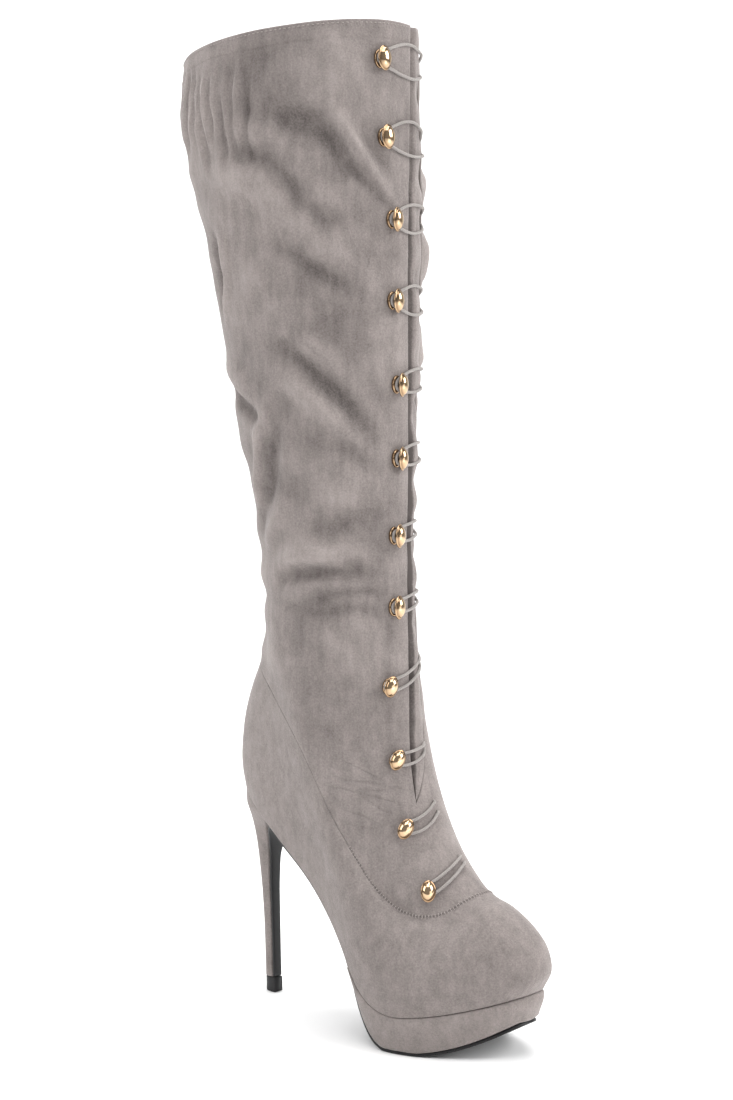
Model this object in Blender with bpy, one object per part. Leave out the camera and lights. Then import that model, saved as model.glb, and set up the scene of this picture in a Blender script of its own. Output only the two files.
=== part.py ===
# Knee-high platform boot for the right foot: suede upper and shaft, buttoned front, slim covered heel.
# Lengths are in millimetres, x runs from the heel to the toe, y to the inner side of the foot, z up.
import bpy
import numpy as np

MM = 0.001
CENTRE_X = 91.965
CENTRE_Y = -0.035

WALL = 1.8
FIT_GAP = 0.3
SOLE_THICKNESS = 1.8
INSOLE_THICKNESS = 2.2
INSOLE_INSET = 2.6
INSOLE_END_ANGLE = 6.0
GUSSET_THICKNESS = 1.2
GUSSET_GAP = 0.6
GUSSET_LAP = 9.0
GUSSET_TAIL = 0.35
CORD_DIAMETER = 1.7
CORD_SIDES = 6
STRAND_POINTS = 6
RING_COLUMNS = 40
FOOT_ROWS = 9
APRON_ROWS = 6
ANKLE_ROWS = 8
LEG_ROWS = 13
GUSSET_ROWS = 22
GUSSET_COLUMNS = 6
INSOLE_SECTIONS = 20
BUTTON_SIDES = 10
TOP_PIECE_HEIGHT = 9.0

# Rings round the boot, one row a level, from the feather edge up to the collar.
# back x, back z, front x, front z, half width at heel, waist, ball, toe, feather dip, seam dip
RINGS = np.array([
    (1.5, 125.0, 206.0, 36.5, 28.0, 25.0, 43.0, 38.0, 1.00, 0.00),
    (-1.0, 140.0, 212.0, 48.5, 30.5, 29.0, 45.0, 39.5, 0.85, 0.15),
    (0.0, 155.0, 209.5, 61.0, 31.0, 32.0, 45.0, 39.5, 0.65, 0.35),
    (3.0, 170.0, 201.0, 71.5, 31.0, 35.0, 42.5, 38.0, 0.40, 0.60),
    (9.0, 186.0, 188.0, 80.0, 31.0, 37.0, 38.5, 37.0, 0.20, 0.80),
    (16.0, 200.0, 173.0, 86.0, 31.0, 38.0, 35.2, 36.0, 0.00, 1.00),
    (19.0, 209.0, 156.0, 101.5, 31.5, 38.0, 34.0, 31.0, 0.00, 0.80),
    (22.0, 219.0, 142.5, 124.5, 33.0, 38.0, 34.5, 30.0, 0.00, 0.55),
    (23.5, 231.0, 131.5, 156.0, 34.5, 38.0, 35.5, 32.0, 0.00, 0.30),
    (23.5, 246.0, 124.0, 195.0, 35.0, 37.5, 36.5, 34.0, 0.00, 0.10),
    (22.0, 266.0, 119.0, 250.0, 35.0, 36.0, 36.0, 35.0, 0.00, 0.00),
    (12.0, 313.0, 118.0, 307.0, 39.5, 40.5, 40.5, 39.5, 0.00, 0.00),
    (3.5, 355.0, 118.5, 353.0, 43.5, 44.5, 44.5, 43.5, 0.00, 0.00),
    (-7.5, 405.0, 119.5, 407.0, 48.0, 49.0, 49.0, 48.0, 0.00, 0.00),
    (-18.5, 455.0, 120.0, 460.0, 53.0, 54.0, 54.0, 53.0, 0.00, 0.00),
    (-27.5, 488.0, 118.5, 495.0, 55.5, 56.5, 56.5, 55.5, 0.00, 0.00),
    (-28.0, 536.0, 116.0, 552.0, 55.5, 56.5, 56.5, 55.5, 0.00, 0.00),
])
LEVELS = np.arange(len(RINGS), dtype=float)
SEAM_LEVEL = 5.0
SEAM_GAP = 0.5
SLIT_END_LEVEL = 7.2
STRAIGHT_LEVEL = 10.0
COLLAR_LEVEL = LEVELS[-1]
STATIONS = np.array([-0.02, 0.10, 0.40, 0.70, 0.93, 1.02])
STATION_BASIS = np.eye(4)[[0, 0, 1, 2, 3, 3]]
FOOT_ROUNDNESS = 0.86
ROUND_LEVEL = 8.0

# Feather edge seen from the side: x, z
FEATHER = np.array([
    (1.5, 125.0), (30.0, 109.5), (48.0, 97.5), (69.5, 81.5), (97.0, 54.0),
    (118.0, 31.5), (138.0, 22.5), (160.0, 23.5), (184.0, 29.2), (206.0, 36.5),
])
# Seam between foot part and shaft seen from the side: x, z
SEAM = np.array([
    (16.0, 200.0), (45.0, 184.0), (80.0, 156.0), (105.0, 118.0),
    (130.0, 85.0), (150.0, 75.0), (163.0, 77.5), (173.0, 86.0),
])
TOE_INFLARE = 8.0
TOE_INFLARE_START = 0.55
TOE_INFLARE_POWER = 1.5
WAIST_OUTFLARE = 2.0
WAIST_SHARE = 0.45
WAIST_SPREAD = 0.2
INFLARE_FADE_LEVEL = 9.0

# Front opening, one row a level: level, y of the outer flap's edge, width of the gap
OPENING = np.array([
    (7.2, -9.0, 0.0), (8.0, -6.0, 10.0), (9.0, 0.0, 13.0), (10.0, 5.5, 14.0), (11.0, 7.5, 16.0),
    (12.0, 7.0, 19.0), (13.0, 5.0, 21.0), (14.0, 6.0, 21.0), (15.0, 9.0, 20.0), (16.0, 14.0, 18.0),
])
# Buttons from the collar down: z and y of the base, rise of the loop's ends, half their spread, slack
BUTTONS = np.array([
    (531.0, -13.0, 1.0, 3.0, 6.0), (490.0, -12.5, -1.5, 3.4, 6.0), (447.0, -8.5, 2.5, 2.2, 5.2),
    (404.0, -7.5, 1.0, 2.8, 5.0), (359.0, -4.0, 4.0, 3.0, 3.2), (319.0, -3.5, 4.0, 3.0, 2.6),
    (277.0, -5.5, 3.0, 2.5, 1.8), (238.0, -7.0, 4.0, 2.0, 1.2), (195.5, -13.5, 12.5, 1.2, 0.5),
    (156.0, -14.5, 9.5, 1.2, 0.8), (119.5, -17.5, 18.0, 2.8, 0.5), (87.5, -18.5, 19.0, 2.8, 0.5),
])
SEWN_LOOPS = 10
SEWN_REACH = 36.0
# Oval button round its stem: half length, height above the suede
BUTTON_PROFILE = np.array([
    (4.2, 1.2), (4.4, 1.45), (2.0, 1.65), (2.0, 4.3), (6.2, 4.3),
    (6.6, 4.9), (5.8, 6.0), (3.3, 6.9), (0.8, 7.2),
])
BUTTON_WIDTH_SHARE = 0.7
BUTTON_TILT = 15.0
CORD_HEIGHT_AT_STEM = 3.05
CORD_HEIGHT_ON_FLAP = 1.65
CORD_HEIGHT_AT_END = -0.5
CORD_TURN_RADIUS = 3.25
CORD_END_CLEAR = 1.2
CORD_TURN_ARC = 160.0
CORD_TURN_POINTS = 6
STRAND_START = 0.12
STRAND_LANDING = 0.22

# Underside of the outsole from the toe to the arch: x, z
TREAD = np.array([
    (202.5, 19.2), (196.0, 15.2), (186.0, 9.8), (172.0, 4.0), (155.0, 0.0),
    (135.0, 0.0), (126.0, 4.5), (118.0, 13.5), (111.0, 25.0), (105.0, 37.0),
])
# Underside of the outsole round the heel breast and down it: x, z, half width
BREAST = np.array([
    (35.0, 102.8, 17.0), (30.0, 102.6, 14.5), (25.8, 99.2, 11.0), (23.0, 94.0, 7.4), (21.2, 86.0, 4.8),
    (20.2, 70.0, 3.6), (20.4, 51.0, 3.2), (20.8, 34.0, 3.0), (21.3, 9.6, 2.9),
])
TREAD_SECTIONS = 17
ARCH_SECTIONS = 7
ARCH_FRONT_X = 98.0
ARCH_BACK_X = 45.0
TOE_TIP_ANGLES = [178.5, 174.0]
SOLE_WAIST_INSET = 1.5
SOLE_EDGE_INSET = 4.0
PLATFORM_SECTIONS = 20
PLATFORM_FOOT_INSET = 3.2
PLATFORM_FOOT_BACKSET = -1.0
PLATFORM_BULGE = 0.9
PLATFORM_REAR_X = 106.0
PLATFORM_THINNEST = 1.0

# Covered heel: back x, back z, front x, front z, half width
HEEL = np.array([
    (2.0, 124.3, 31.5, 107.9, 23.0), (2.8, 117.0, 26.4, 104.6, 18.5), (3.9, 108.0, 22.4, 100.0, 13.0),
    (5.2, 98.0, 20.0, 94.0, 8.8), (6.8, 86.0, 18.7, 86.0, 6.2), (8.9, 69.0, 18.0, 69.0, 4.8),
    (10.5, 51.0, 18.2, 51.0, 4.2), (11.4, 34.0, 18.6, 34.0, 4.0), (12.1, 9.3, 19.1, 9.3, 3.9),
])
HEEL_ARC = 13
HEEL_ROUNDNESS = 0.9
HEEL_BREAST_NARROWING = 0.25
TOP_PIECE_FRONT = 21.6


def smooth(nodes, values, where):
    """Cubic curve through rows of a table, with each slope taken from its two neighbours."""
    nodes = np.asarray(nodes, float)
    values = np.asarray(values, float)
    extra = (1,) * (values.ndim - 1)
    step = np.diff(nodes).reshape((-1,) + extra)
    rate = np.diff(values, axis=0) / step
    slope = np.concatenate([rate[:1], rate[:1].repeat(len(nodes) - 2, 0), rate[-1:]])
    slope[1:-1] = (rate[:-1] * step[1:] + rate[1:] * step[:-1]) / (step[:-1] + step[1:])
    where = np.clip(np.asarray(where, float), nodes[0], nodes[-1])
    i = np.clip(np.searchsorted(nodes, where, side="right") - 1, 0, len(nodes) - 2)
    span = (nodes[i + 1] - nodes[i]).reshape(where.shape + extra)
    u = (where - nodes[i]).reshape(where.shape + extra) / span
    start = (1 + 2 * u) * (1 - u) ** 2 * values[i] + u * (1 - u) ** 2 * span * slope[i]
    end = u * u * (3 - 2 * u) * values[i + 1] + u * u * (u - 1) * span * slope[i + 1]
    return start + end


def dip(line, share):
    """Height of a side-view line above the straight line between its two ends."""
    x = line[0, 0] + (line[-1, 0] - line[0, 0]) * share
    chord = line[0, 1] + (line[-1, 1] - line[0, 1]) * share
    return smooth(line[:, 0], line[:, 1], x) - chord


def seam_dip(level, row, x, share):
    """Dip of the seam line: stretched to the ring's length below the seam, kept at its own x above it."""
    run = SEAM[-1, 0] - SEAM[0, 0]
    ends = (x, row[..., 0], row[..., 2])
    kept, back, front = (dip(SEAM, np.clip((v - SEAM[0, 0]) / run, 0, 1)) for v in ends)
    kept = kept - (1 - share) * back - share * front
    return np.where(level > SEAM_LEVEL, kept, dip(SEAM, share))


def feather_height(x):
    """Height of the feather edge at a given x."""
    return smooth(FEATHER[:, 0], FEATHER[:, 1], x)


def inflare(share):
    """Sideways bend of the last's centre line: inward at the toe, slightly outward at the waist."""
    forefoot = np.clip((share - TOE_INFLARE_START) / (1 - TOE_INFLARE_START), 0, 1)
    waist = np.exp(-((share - WAIST_SHARE) / WAIST_SPREAD) ** 2)
    return TOE_INFLARE * forefoot ** TOE_INFLARE_POWER - WAIST_OUTFLARE * waist


def surface(level, phi):
    """Outside of the boot; phi is 0 at the back, half pi on the outer side and pi at the front."""
    level, phi = np.broadcast_arrays(np.asarray(level, float), np.asarray(phi, float))
    row = smooth(LEVELS, RINGS, level)
    share = (1 - np.cos(phi)) / 2
    x = row[..., 0] + (row[..., 2] - row[..., 0]) * share
    z = row[..., 1] + (row[..., 3] - row[..., 1]) * share
    z = z + row[..., 8] * dip(FEATHER, share) + row[..., 9] * seam_dip(level, row, x, share)
    half = (smooth(STATIONS, STATION_BASIS, share) * row[..., 4:8]).sum(-1)
    roundness = np.interp(level, [SEAM_LEVEL, ROUND_LEVEL], [FOOT_ROUNDNESS, 1.0])
    side = np.sin(phi)
    y = -np.sign(side) * half * np.abs(side) ** roundness
    y = y + inflare(share) * np.clip(1 - level / INFLARE_FADE_LEVEL, 0, 1)
    return np.stack([x, y, z], -1)


def unit(v):
    """Vectors brought to length one."""
    return v / np.linalg.norm(v, axis=-1, keepdims=True)


def tangents(level, phi):
    """Directions on the surface along the ring and up the boot, per unit of phi and level."""
    d_phi, d_level = 0.01, 0.02
    low = np.clip(level - d_level, 0, COLLAR_LEVEL)
    high = np.clip(level + d_level, 0, COLLAR_LEVEL)
    along = (surface(level, phi + d_phi) - surface(level, phi - d_phi)) / (2 * d_phi)
    up = (surface(high, phi) - surface(low, phi)) / (high - low)[..., None]
    return along, up


def offset_surface(level, phi, height):
    """Point at a height above the outside of the boot, along its outward normal."""
    level, phi = np.broadcast_arrays(np.asarray(level, float), np.asarray(phi, float))
    along, up = tangents(level, phi)
    return surface(level, phi) + np.asarray(height, float)[..., None] * unit(np.cross(along, up))


def front_phi(level, y):
    """Angle at which the ring of a level crosses a given y on the front of the boot."""
    phi = np.linspace(np.pi - 1.3, np.pi + 1.3, 521)
    rings = surface(np.atleast_1d(level)[:, None], phi[None, :])[..., 1]
    return np.array([np.interp(v, ring, phi) for v, ring in zip(np.broadcast_to(y, len(rings)), rings)])


def opening_phi(level):
    """Angles of the outer and inner edges of the front opening at the given levels."""
    level = np.atleast_1d(np.asarray(level, float))
    rows = smooth(OPENING[:, 0], OPENING[:, 1:], level)
    gap = np.maximum(rows[:, 1], 0)
    return front_phi(level, rows[:, 0]), front_phi(level, rows[:, 0] + gap)


def button_place(z, y):
    """Level and angle of the front point with a given height and y."""
    level = np.linspace(SEAM_LEVEL, COLLAR_LEVEL, 331)
    phi = front_phi(level, y)
    found = np.interp(z, surface(level, phi)[:, 2], level)
    return found, front_phi(found, y)[0]


def add_material(name, colour, roughness, metallic=0.0):
    """Plain material of one colour."""
    material = bpy.data.materials.new(name)
    material.use_nodes = True
    shader = material.node_tree.nodes["Principled BSDF"]
    shader.inputs["Base Color"].default_value = (*colour, 1.0)
    shader.inputs["Roughness"].default_value = roughness
    shader.inputs["Metallic"].default_value = metallic
    return material


def add_object(name, points, faces, material):
    """Object made from points in millimetres and faces that look outward."""
    points = (np.asarray(points, float) - (CENTRE_X, CENTRE_Y, 0.0)) * MM
    mesh = bpy.data.meshes.new(name)
    mesh.from_pydata(points.tolist(), [], faces)
    mesh.materials.append(material)
    obj = bpy.data.objects.new(name, mesh)
    bpy.context.scene.collection.objects.link(obj)
    return obj


def add_loft(name, sections, material):
    """Closed body through rings of equal point count, capped at its two ends."""
    sections = np.asarray(sections, float)
    rows, ring = sections.shape[:2]
    faces = []
    for i in range(rows - 1):
        for k in range(ring):
            n = (k + 1) % ring
            faces.append((i * ring + k, i * ring + n, (i + 1) * ring + n, (i + 1) * ring + k))
    faces.append(tuple(range(ring - 1, -1, -1)))
    faces.append(tuple((rows - 1) * ring + k for k in range(ring)))
    return add_object(name, sections.reshape(-1, 3), faces, material)


def add_shell(name, outer, inner, closed, material):
    """Walled body between two grids; a closed row joins its last column to its first."""
    rows, columns = outer.shape[:2]
    points = np.concatenate([outer.reshape(-1, 3), inner.reshape(-1, 3)])
    half = rows * columns

    def at(layer, i, k):
        return layer * half + i * columns + (0 if closed[i] and k == columns - 1 else k)

    faces = []
    for i in range(rows - 1):
        for k in range(columns - 1):
            quad = [(i, k), (i, k + 1), (i + 1, k + 1), (i + 1, k)]
            faces.append([at(0, *q) for q in quad])
            faces.append([at(1, *q) for q in reversed(quad)])
        if not (closed[i] and closed[i + 1]):
            faces.append([at(0, i + 1, 0), at(1, i + 1, 0), at(1, i, 0), at(0, i, 0)])
            last = columns - 1
            faces.append([at(0, i, last), at(1, i, last), at(1, i + 1, last), at(0, i + 1, last)])
    top = rows - 1
    for k in range(columns - 1):
        faces.append([at(0, 0, k + 1), at(0, 0, k), at(1, 0, k), at(1, 0, k + 1)])
        faces.append([at(0, top, k), at(0, top, k + 1), at(1, top, k + 1), at(1, top, k)])
    used = sorted({v for face in faces for v in face})
    number = {v: n for n, v in enumerate(used)}
    return add_object(name, points[used], [[number[v] for v in face] for face in faces], material)


def seam_lip(phi, side):
    """Level and angle of one lip of the seam, half the seam's gap square off its middle line."""
    along, up = tangents(np.full(phi.shape, SEAM_LEVEL), phi)
    per_phi = np.linalg.norm(along, axis=-1)
    skew = (up * along).sum(-1) / per_phi
    across = up - (skew / per_phi)[..., None] * along
    step = side * SEAM_GAP / 2 / np.linalg.norm(across, axis=-1)
    return SEAM_LEVEL + step, phi - step * skew / per_phi


def add_foot_part(material):
    """Vamp and heel counter in one: closed rings from the feather edge to the seam."""
    phi = np.linspace(-np.pi, np.pi, RING_COLUMNS + 1)
    lip_level, lip_phi = seam_lip(phi, -1)
    share = np.linspace(0, 1, FOOT_ROWS)[:, None]
    level = share * lip_level
    phi = phi + share * (lip_phi - phi)
    outer = offset_surface(level, phi, 0.0)
    inner = offset_surface(level, phi, -WALL)
    return add_shell("upper", outer, inner, [True] * FOOT_ROWS, material)


def add_shaft(material):
    """Leg of the boot: closed rings below the front opening, open ones beside it."""
    low = np.linspace(SEAM_LEVEL, SLIT_END_LEVEL, APRON_ROWS)
    middle = np.linspace(SLIT_END_LEVEL, STRAIGHT_LEVEL, ANKLE_ROWS)[1:]
    high = np.linspace(STRAIGHT_LEVEL, COLLAR_LEVEL, LEG_ROWS)[1:]
    row_level = np.concatenate([low, middle, high])
    first, last = opening_phi(np.maximum(row_level, SLIT_END_LEVEL))
    sideways = np.interp(row_level, [SEAM_LEVEL, SLIT_END_LEVEL], [0.0, 1.0])
    first = np.pi + (first - np.pi) * sideways
    last = np.pi + (last - np.pi) * sideways
    share = np.linspace(0, 1, RING_COLUMNS + 1)[None, :]
    phi = last[:, None] - 2 * np.pi + (first - last + 2 * np.pi)[:, None] * share
    level = np.repeat(row_level[:, None], RING_COLUMNS + 1, 1)
    level[0], phi[0] = seam_lip(phi[0], 1)
    outer = offset_surface(level, phi, 0.0)
    inner = offset_surface(level, phi, -WALL)
    return add_shell("shaft", outer, inner, row_level <= SLIT_END_LEVEL, material)


def add_gusset(material):
    """Soft strip behind the front opening, lapped under both flaps."""
    level = np.linspace(SLIT_END_LEVEL - GUSSET_TAIL, COLLAR_LEVEL, GUSSET_ROWS)
    first, last = opening_phi(np.maximum(level, SLIT_END_LEVEL))
    along, up = tangents(level, first)
    lap = GUSSET_LAP / np.linalg.norm(along, axis=-1)
    share = np.linspace(0, 1, GUSSET_COLUMNS)[None, :]
    phi = (first - lap)[:, None] + (last - first + 2 * lap)[:, None] * share
    depth = WALL + GUSSET_GAP
    outer = offset_surface(level[:, None], phi, -depth)
    inner = offset_surface(level[:, None], phi, -depth - GUSSET_THICKNESS)
    return add_shell("gusset", outer, inner, [False] * len(level), material)


def outline(phi, front_x, inset):
    """Plan outline of the feather edge drawn in by an inset, with the toe brought to a given x."""
    share = (1 - np.cos(phi)) / 2
    base = RINGS[0]
    half = (smooth(STATIONS, STATION_BASIS, share) * base[4:8]).sum(-1) - inset
    width = half * np.abs(np.sin(phi)) ** FOOT_ROUNDNESS
    x = base[0] + (front_x - base[0]) * share
    return x, inflare(share) - width, inflare(share) + width


def path_offset(path, distance):
    """Side-view path moved off itself towards the foot."""
    direction = unit(np.gradient(path, axis=0))
    return path + distance * np.stack([direction[:, 1], -direction[:, 0]], -1)


def sole_path():
    """Underside of the outsole from the toe to the foot of the heel breast: x, z, low y, high y."""
    tread_phi = np.radians(np.concatenate([TOE_TIP_ANGLES, np.linspace(168.0, 94.0, TREAD_SECTIONS)]))
    x, low, high = outline(tread_phi, TREAD[0, 0], SOLE_EDGE_INSET)
    keep = x > TREAD[-1, 0]
    back = TREAD[::-1]
    z = np.maximum(smooth(back[:, 0], back[:, 1], x[keep]), 0.0)
    tread = np.stack([x[keep], z, low[keep], high[keep]], -1)
    arch_x = np.linspace(ARCH_FRONT_X, ARCH_BACK_X, ARCH_SECTIONS)
    feather = np.stack([arch_x, feather_height(arch_x)], -1)
    under = path_offset(feather, -(FIT_GAP + SOLE_THICKNESS))
    share = (under[:, 0] - RINGS[0, 0]) / (RINGS[0, 2] - RINGS[0, 0])
    x, low, high = outline(np.arccos(1 - 2 * share), RINGS[0, 2], SOLE_WAIST_INSET)
    arch = np.stack([x, under[:, 1], low, high], -1)
    breast = np.stack([BREAST[:, 0], BREAST[:, 1], -BREAST[:, 2], BREAST[:, 2]], -1)
    return np.concatenate([tread, arch, breast])


def add_outsole(path, top, material):
    """Thin outsole that follows the tread, climbs the arch and runs down the heel breast."""
    corners = [(path[:, :2], path[:, 3]), (path[:, :2], path[:, 2]), (top, path[:, 2]), (top, path[:, 3])]
    sections = np.stack([np.stack([xz[:, 0], y, xz[:, 1]], -1) for xz, y in corners], 1)
    return add_loft("outsole", sections, material)


def add_platform(path, top, material):
    """Covered platform between outsole and upper, running out to a thin wedge under the arch."""
    phi = np.radians(np.concatenate([TOE_TIP_ANGLES, np.linspace(169.0, 91.0, PLATFORM_SECTIONS)]))
    x, low, high = outline(phi, RINGS[0, 2], 0.0)
    x_foot, low_foot, high_foot = outline(phi, TREAD[0, 0] - PLATFORM_FOOT_BACKSET, PLATFORM_FOOT_INSET)
    keep = x_foot > PLATFORM_REAR_X
    order = np.argsort(top[:, 0])
    ground = np.interp(x_foot, top[order, 0], top[order, 1]) + 2 * FIT_GAP
    lid = feather_height(x) - FIT_GAP
    ground = np.minimum(ground, lid - PLATFORM_THINNEST)
    belly = (ground + 2 * lid) / 3
    x_belly = (x_foot + 2 * x) / 3
    low_belly = (low_foot + 2 * low) / 3 - PLATFORM_BULGE
    high_belly = (high_foot + 2 * high) / 3 + PLATFORM_BULGE
    rings = [(x_foot, high_foot, ground), (x_foot, low_foot, ground), (x_belly, low_belly, belly),
             (x, low, lid), (x, high, lid), (x_belly, high_belly, belly)]
    sections = np.stack([np.stack(ring, -1)[keep] for ring in rings], 1)
    return add_loft("platform", sections, material)


def add_insole(material):
    """Insole inside the foot part, lying along the feather edge."""
    phi = np.radians(np.linspace(INSOLE_END_ANGLE, 180 - INSOLE_END_ANGLE, INSOLE_SECTIONS))
    front = RINGS[0, 2] - INSOLE_INSET
    x, low, high = outline(phi, front, INSOLE_INSET)
    x = x + INSOLE_INSET * (1 - (1 - np.cos(phi)) / 2)
    path = np.stack([x, feather_height(x) + FIT_GAP], -1)
    top = path_offset(path, -INSOLE_THICKNESS)
    corners = [(path, low), (path, high), (top, high), (top, low)]
    sections = np.stack([np.stack([xz[:, 0], y, xz[:, 1]], -1) for xz, y in corners], 1)
    return add_loft("insole", sections, material)


def heel_section(back_x, back_z, front_x, front_z, half):
    """D-shaped ring: round at the back, flat at the breast."""
    turn = np.linspace(0, np.pi, HEEL_ARC)
    share = np.sin(turn) ** HEEL_ROUNDNESS
    x = front_x + (back_x - front_x) * share
    z = front_z + (back_z - front_z) * share
    y = half * np.cos(turn) * (1 - HEEL_BREAST_NARROWING * (1 - np.sin(turn)))
    return np.stack([x, y, z], -1)


def add_heel(material):
    """Slim covered heel from its seat down to the top piece."""
    level = np.linspace(0, len(HEEL) - 1, 2 * len(HEEL) - 1)
    rows = smooth(np.arange(len(HEEL)), HEEL, level)
    return add_loft("heel", [heel_section(*row) for row in rows[::-1]], material)


def add_top_piece(material):
    """Small wear piece under the heel."""
    back, half = HEEL[-1, 0], HEEL[-1, 4]
    sections = [heel_section(back, z, TOP_PIECE_FRONT, z, half) for z in (0.0, TOP_PIECE_HEIGHT)]
    return add_loft("top_piece", sections, material)


def local_frame(level, phi):
    """Point on the boot with unit directions along the ring, up the boot and outward."""
    along, up = tangents(np.array(level), np.array(phi))
    outward = unit(np.cross(along, up))
    sideways = unit(along)
    return surface(level, phi), sideways, np.cross(outward, sideways), outward


def button_frame(level, phi):
    """Frame of a button: the pull of its loop leans it towards the opening."""
    origin, sideways, upward, outward = local_frame(level, phi)
    lean = np.radians(BUTTON_TILT)
    axis = np.cos(lean) * outward + np.sin(lean) * sideways
    return origin, np.cos(lean) * sideways - np.sin(lean) * outward, upward, axis


def add_button(name, level, phi, material):
    """Oval dome button on a stem, longer upward than across."""
    origin, sideways, upward, outward = button_frame(level, phi)
    turn = np.linspace(0, 2 * np.pi, BUTTON_SIDES, endpoint=False)
    spokes = BUTTON_WIDTH_SHARE * np.cos(turn)[:, None] * sideways + np.sin(turn)[:, None] * upward
    sections = [origin + radius * spokes + height * outward for radius, height in BUTTON_PROFILE]
    return add_loft(name, sections, material)


def resample(points, count):
    """Points spread evenly along a path."""
    run = np.concatenate([[0], np.cumsum(np.linalg.norm(np.diff(points, axis=0), axis=1))])
    even = np.linspace(0, run[-1], count)
    return np.stack([np.interp(even, run, points[:, k]) for k in range(3)], -1)


def strand(level, phi, side, rise, spread, slack, sewn):
    """One side of a loop, from the button's stem over the flap to its end."""
    along, up = tangents(np.array(level), np.array(phi))
    origin, sideways, upward, outward = local_frame(level, phi)
    per_phi, per_level = np.linalg.norm(along), np.linalg.norm(up)
    lean, climb = up @ sideways, up @ upward
    end_level = np.clip(level + (rise + side * spread) / per_level, SLIT_END_LEVEL, COLLAR_LEVEL)
    if sewn:
        first, last = opening_phi(end_level)
        end_phi, edge_phi = last[0] - CORD_END_CLEAR / per_phi, first[0]
    else:
        end_level = level + (rise + side * spread) / per_level
        end_phi = edge_phi = phi + SEWN_REACH / per_phi
    reach = np.array([per_phi * (end_phi - phi) + lean * (end_level - level), climb * (end_level - level)])
    across = side * np.array([-reach[1], reach[0]]) / np.linalg.norm(reach)
    share = np.linspace(STRAND_START, 1, 2 * STRAND_POINTS)
    bow = CORD_TURN_RADIUS * (1 - share) + slack * np.sin(np.pi * share)
    lift = bow * across[1] / climb
    levels = level + (end_level - level) * share + lift
    phis = phi + (end_phi - phi) * share + (bow * across[0] - lean * lift) / per_phi
    low_end = CORD_HEIGHT_AT_END if sewn else CORD_HEIGHT_ON_FLAP
    edge_share = (edge_phi - phi) / (end_phi - phi)
    knots = [0.0, min(STRAND_LANDING, edge_share - 0.05), edge_share, 1.0 + 1e-6]
    heights = [CORD_HEIGHT_AT_STEM, CORD_HEIGHT_ON_FLAP, CORD_HEIGHT_ON_FLAP, low_end]
    height = np.interp(share, knots, heights)
    return offset_surface(np.clip(levels, 0, COLLAR_LEVEL), phis, height)


def add_loop(name, level, phi, rise, spread, slack, sewn, material):
    """Cord from the inner flap round the stem of a button and back."""
    origin, sideways, upward, outward = button_frame(level, phi)
    upper = resample(strand(level, phi, 1, rise, spread, slack, sewn), STRAND_POINTS)
    lower = resample(strand(level, phi, -1, rise, spread, slack, sewn), STRAND_POINTS)
    pull = (upper[-1] + lower[-1]) / 2 - origin
    heading = np.arctan2(pull @ upward, pull @ sideways)
    turn = np.linspace(-0.5, 0.5, CORD_TURN_POINTS) * np.radians(CORD_TURN_ARC)
    turn = (heading + np.pi + turn)[:, None]
    around = origin + CORD_TURN_RADIUS * (np.cos(turn) * sideways + np.sin(turn) * upward)
    around = around + CORD_HEIGHT_AT_STEM * outward
    path = np.concatenate([upper[::-1], around, lower])
    direction = unit(np.gradient(path, axis=0))
    normal = unit(outward - (direction @ outward)[:, None] * direction)
    beside = np.cross(direction, normal)
    turn = np.linspace(0, 2 * np.pi, CORD_SIDES, endpoint=False)[None, :, None]
    spokes = np.cos(turn) * normal[:, None] + np.sin(turn) * beside[:, None]
    return add_loft(name, path[:, None] + CORD_DIAMETER / 2 * spokes, material)


def main():
    for obj in list(bpy.data.objects):
        bpy.data.objects.remove(obj, do_unlink=True)
    suede = add_material("suede", (0.30, 0.27, 0.26), 0.95)
    cover = add_material("suede_cover", (0.29, 0.265, 0.25), 0.95)
    stretch = add_material("gusset_cloth", (0.25, 0.225, 0.215), 0.95)
    lining = add_material("insole_lining", (0.22, 0.20, 0.19), 0.8)
    rubber = add_material("black_rubber", (0.012, 0.012, 0.013), 0.45)
    gold = add_material("gold_metal", (0.83, 0.62, 0.36), 0.18, 1.0)
    cord = add_material("elastic_cord", (0.30, 0.27, 0.25), 0.85)
    add_foot_part(suede)
    add_shaft(suede)
    add_gusset(stretch)
    add_insole(lining)
    path = sole_path()
    top = path_offset(path[:, :2], SOLE_THICKNESS)
    add_outsole(path, top, rubber)
    add_platform(path, top, cover)
    add_heel(cover)
    add_top_piece(rubber)
    for i, (z, y, rise, spread, slack) in enumerate(BUTTONS):
        level, phi = button_place(z, y)
        add_button(f"button_{i + 1:02d}", level, phi, gold)
        add_loop(f"loop_{i + 1:02d}", level, phi, rise, spread, slack, i < SEWN_LOOPS, cord)


main()
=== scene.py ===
# %% [markdown]
# # Dressing a knee-high suede boot
# The frame holds the plain solids of the boot: foot part, leg, tongue strip, sole, platform, heel,
# buttons and cord loops. This lesson puts the real surfaces over them: slack suede with its folds, turned
# edges, seams and stitches, polished buttons, braided cord and a black sole. Every piece is worked out with
# numpy from the same few tables as the solids, so it lands where they are without any fitting.

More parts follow.
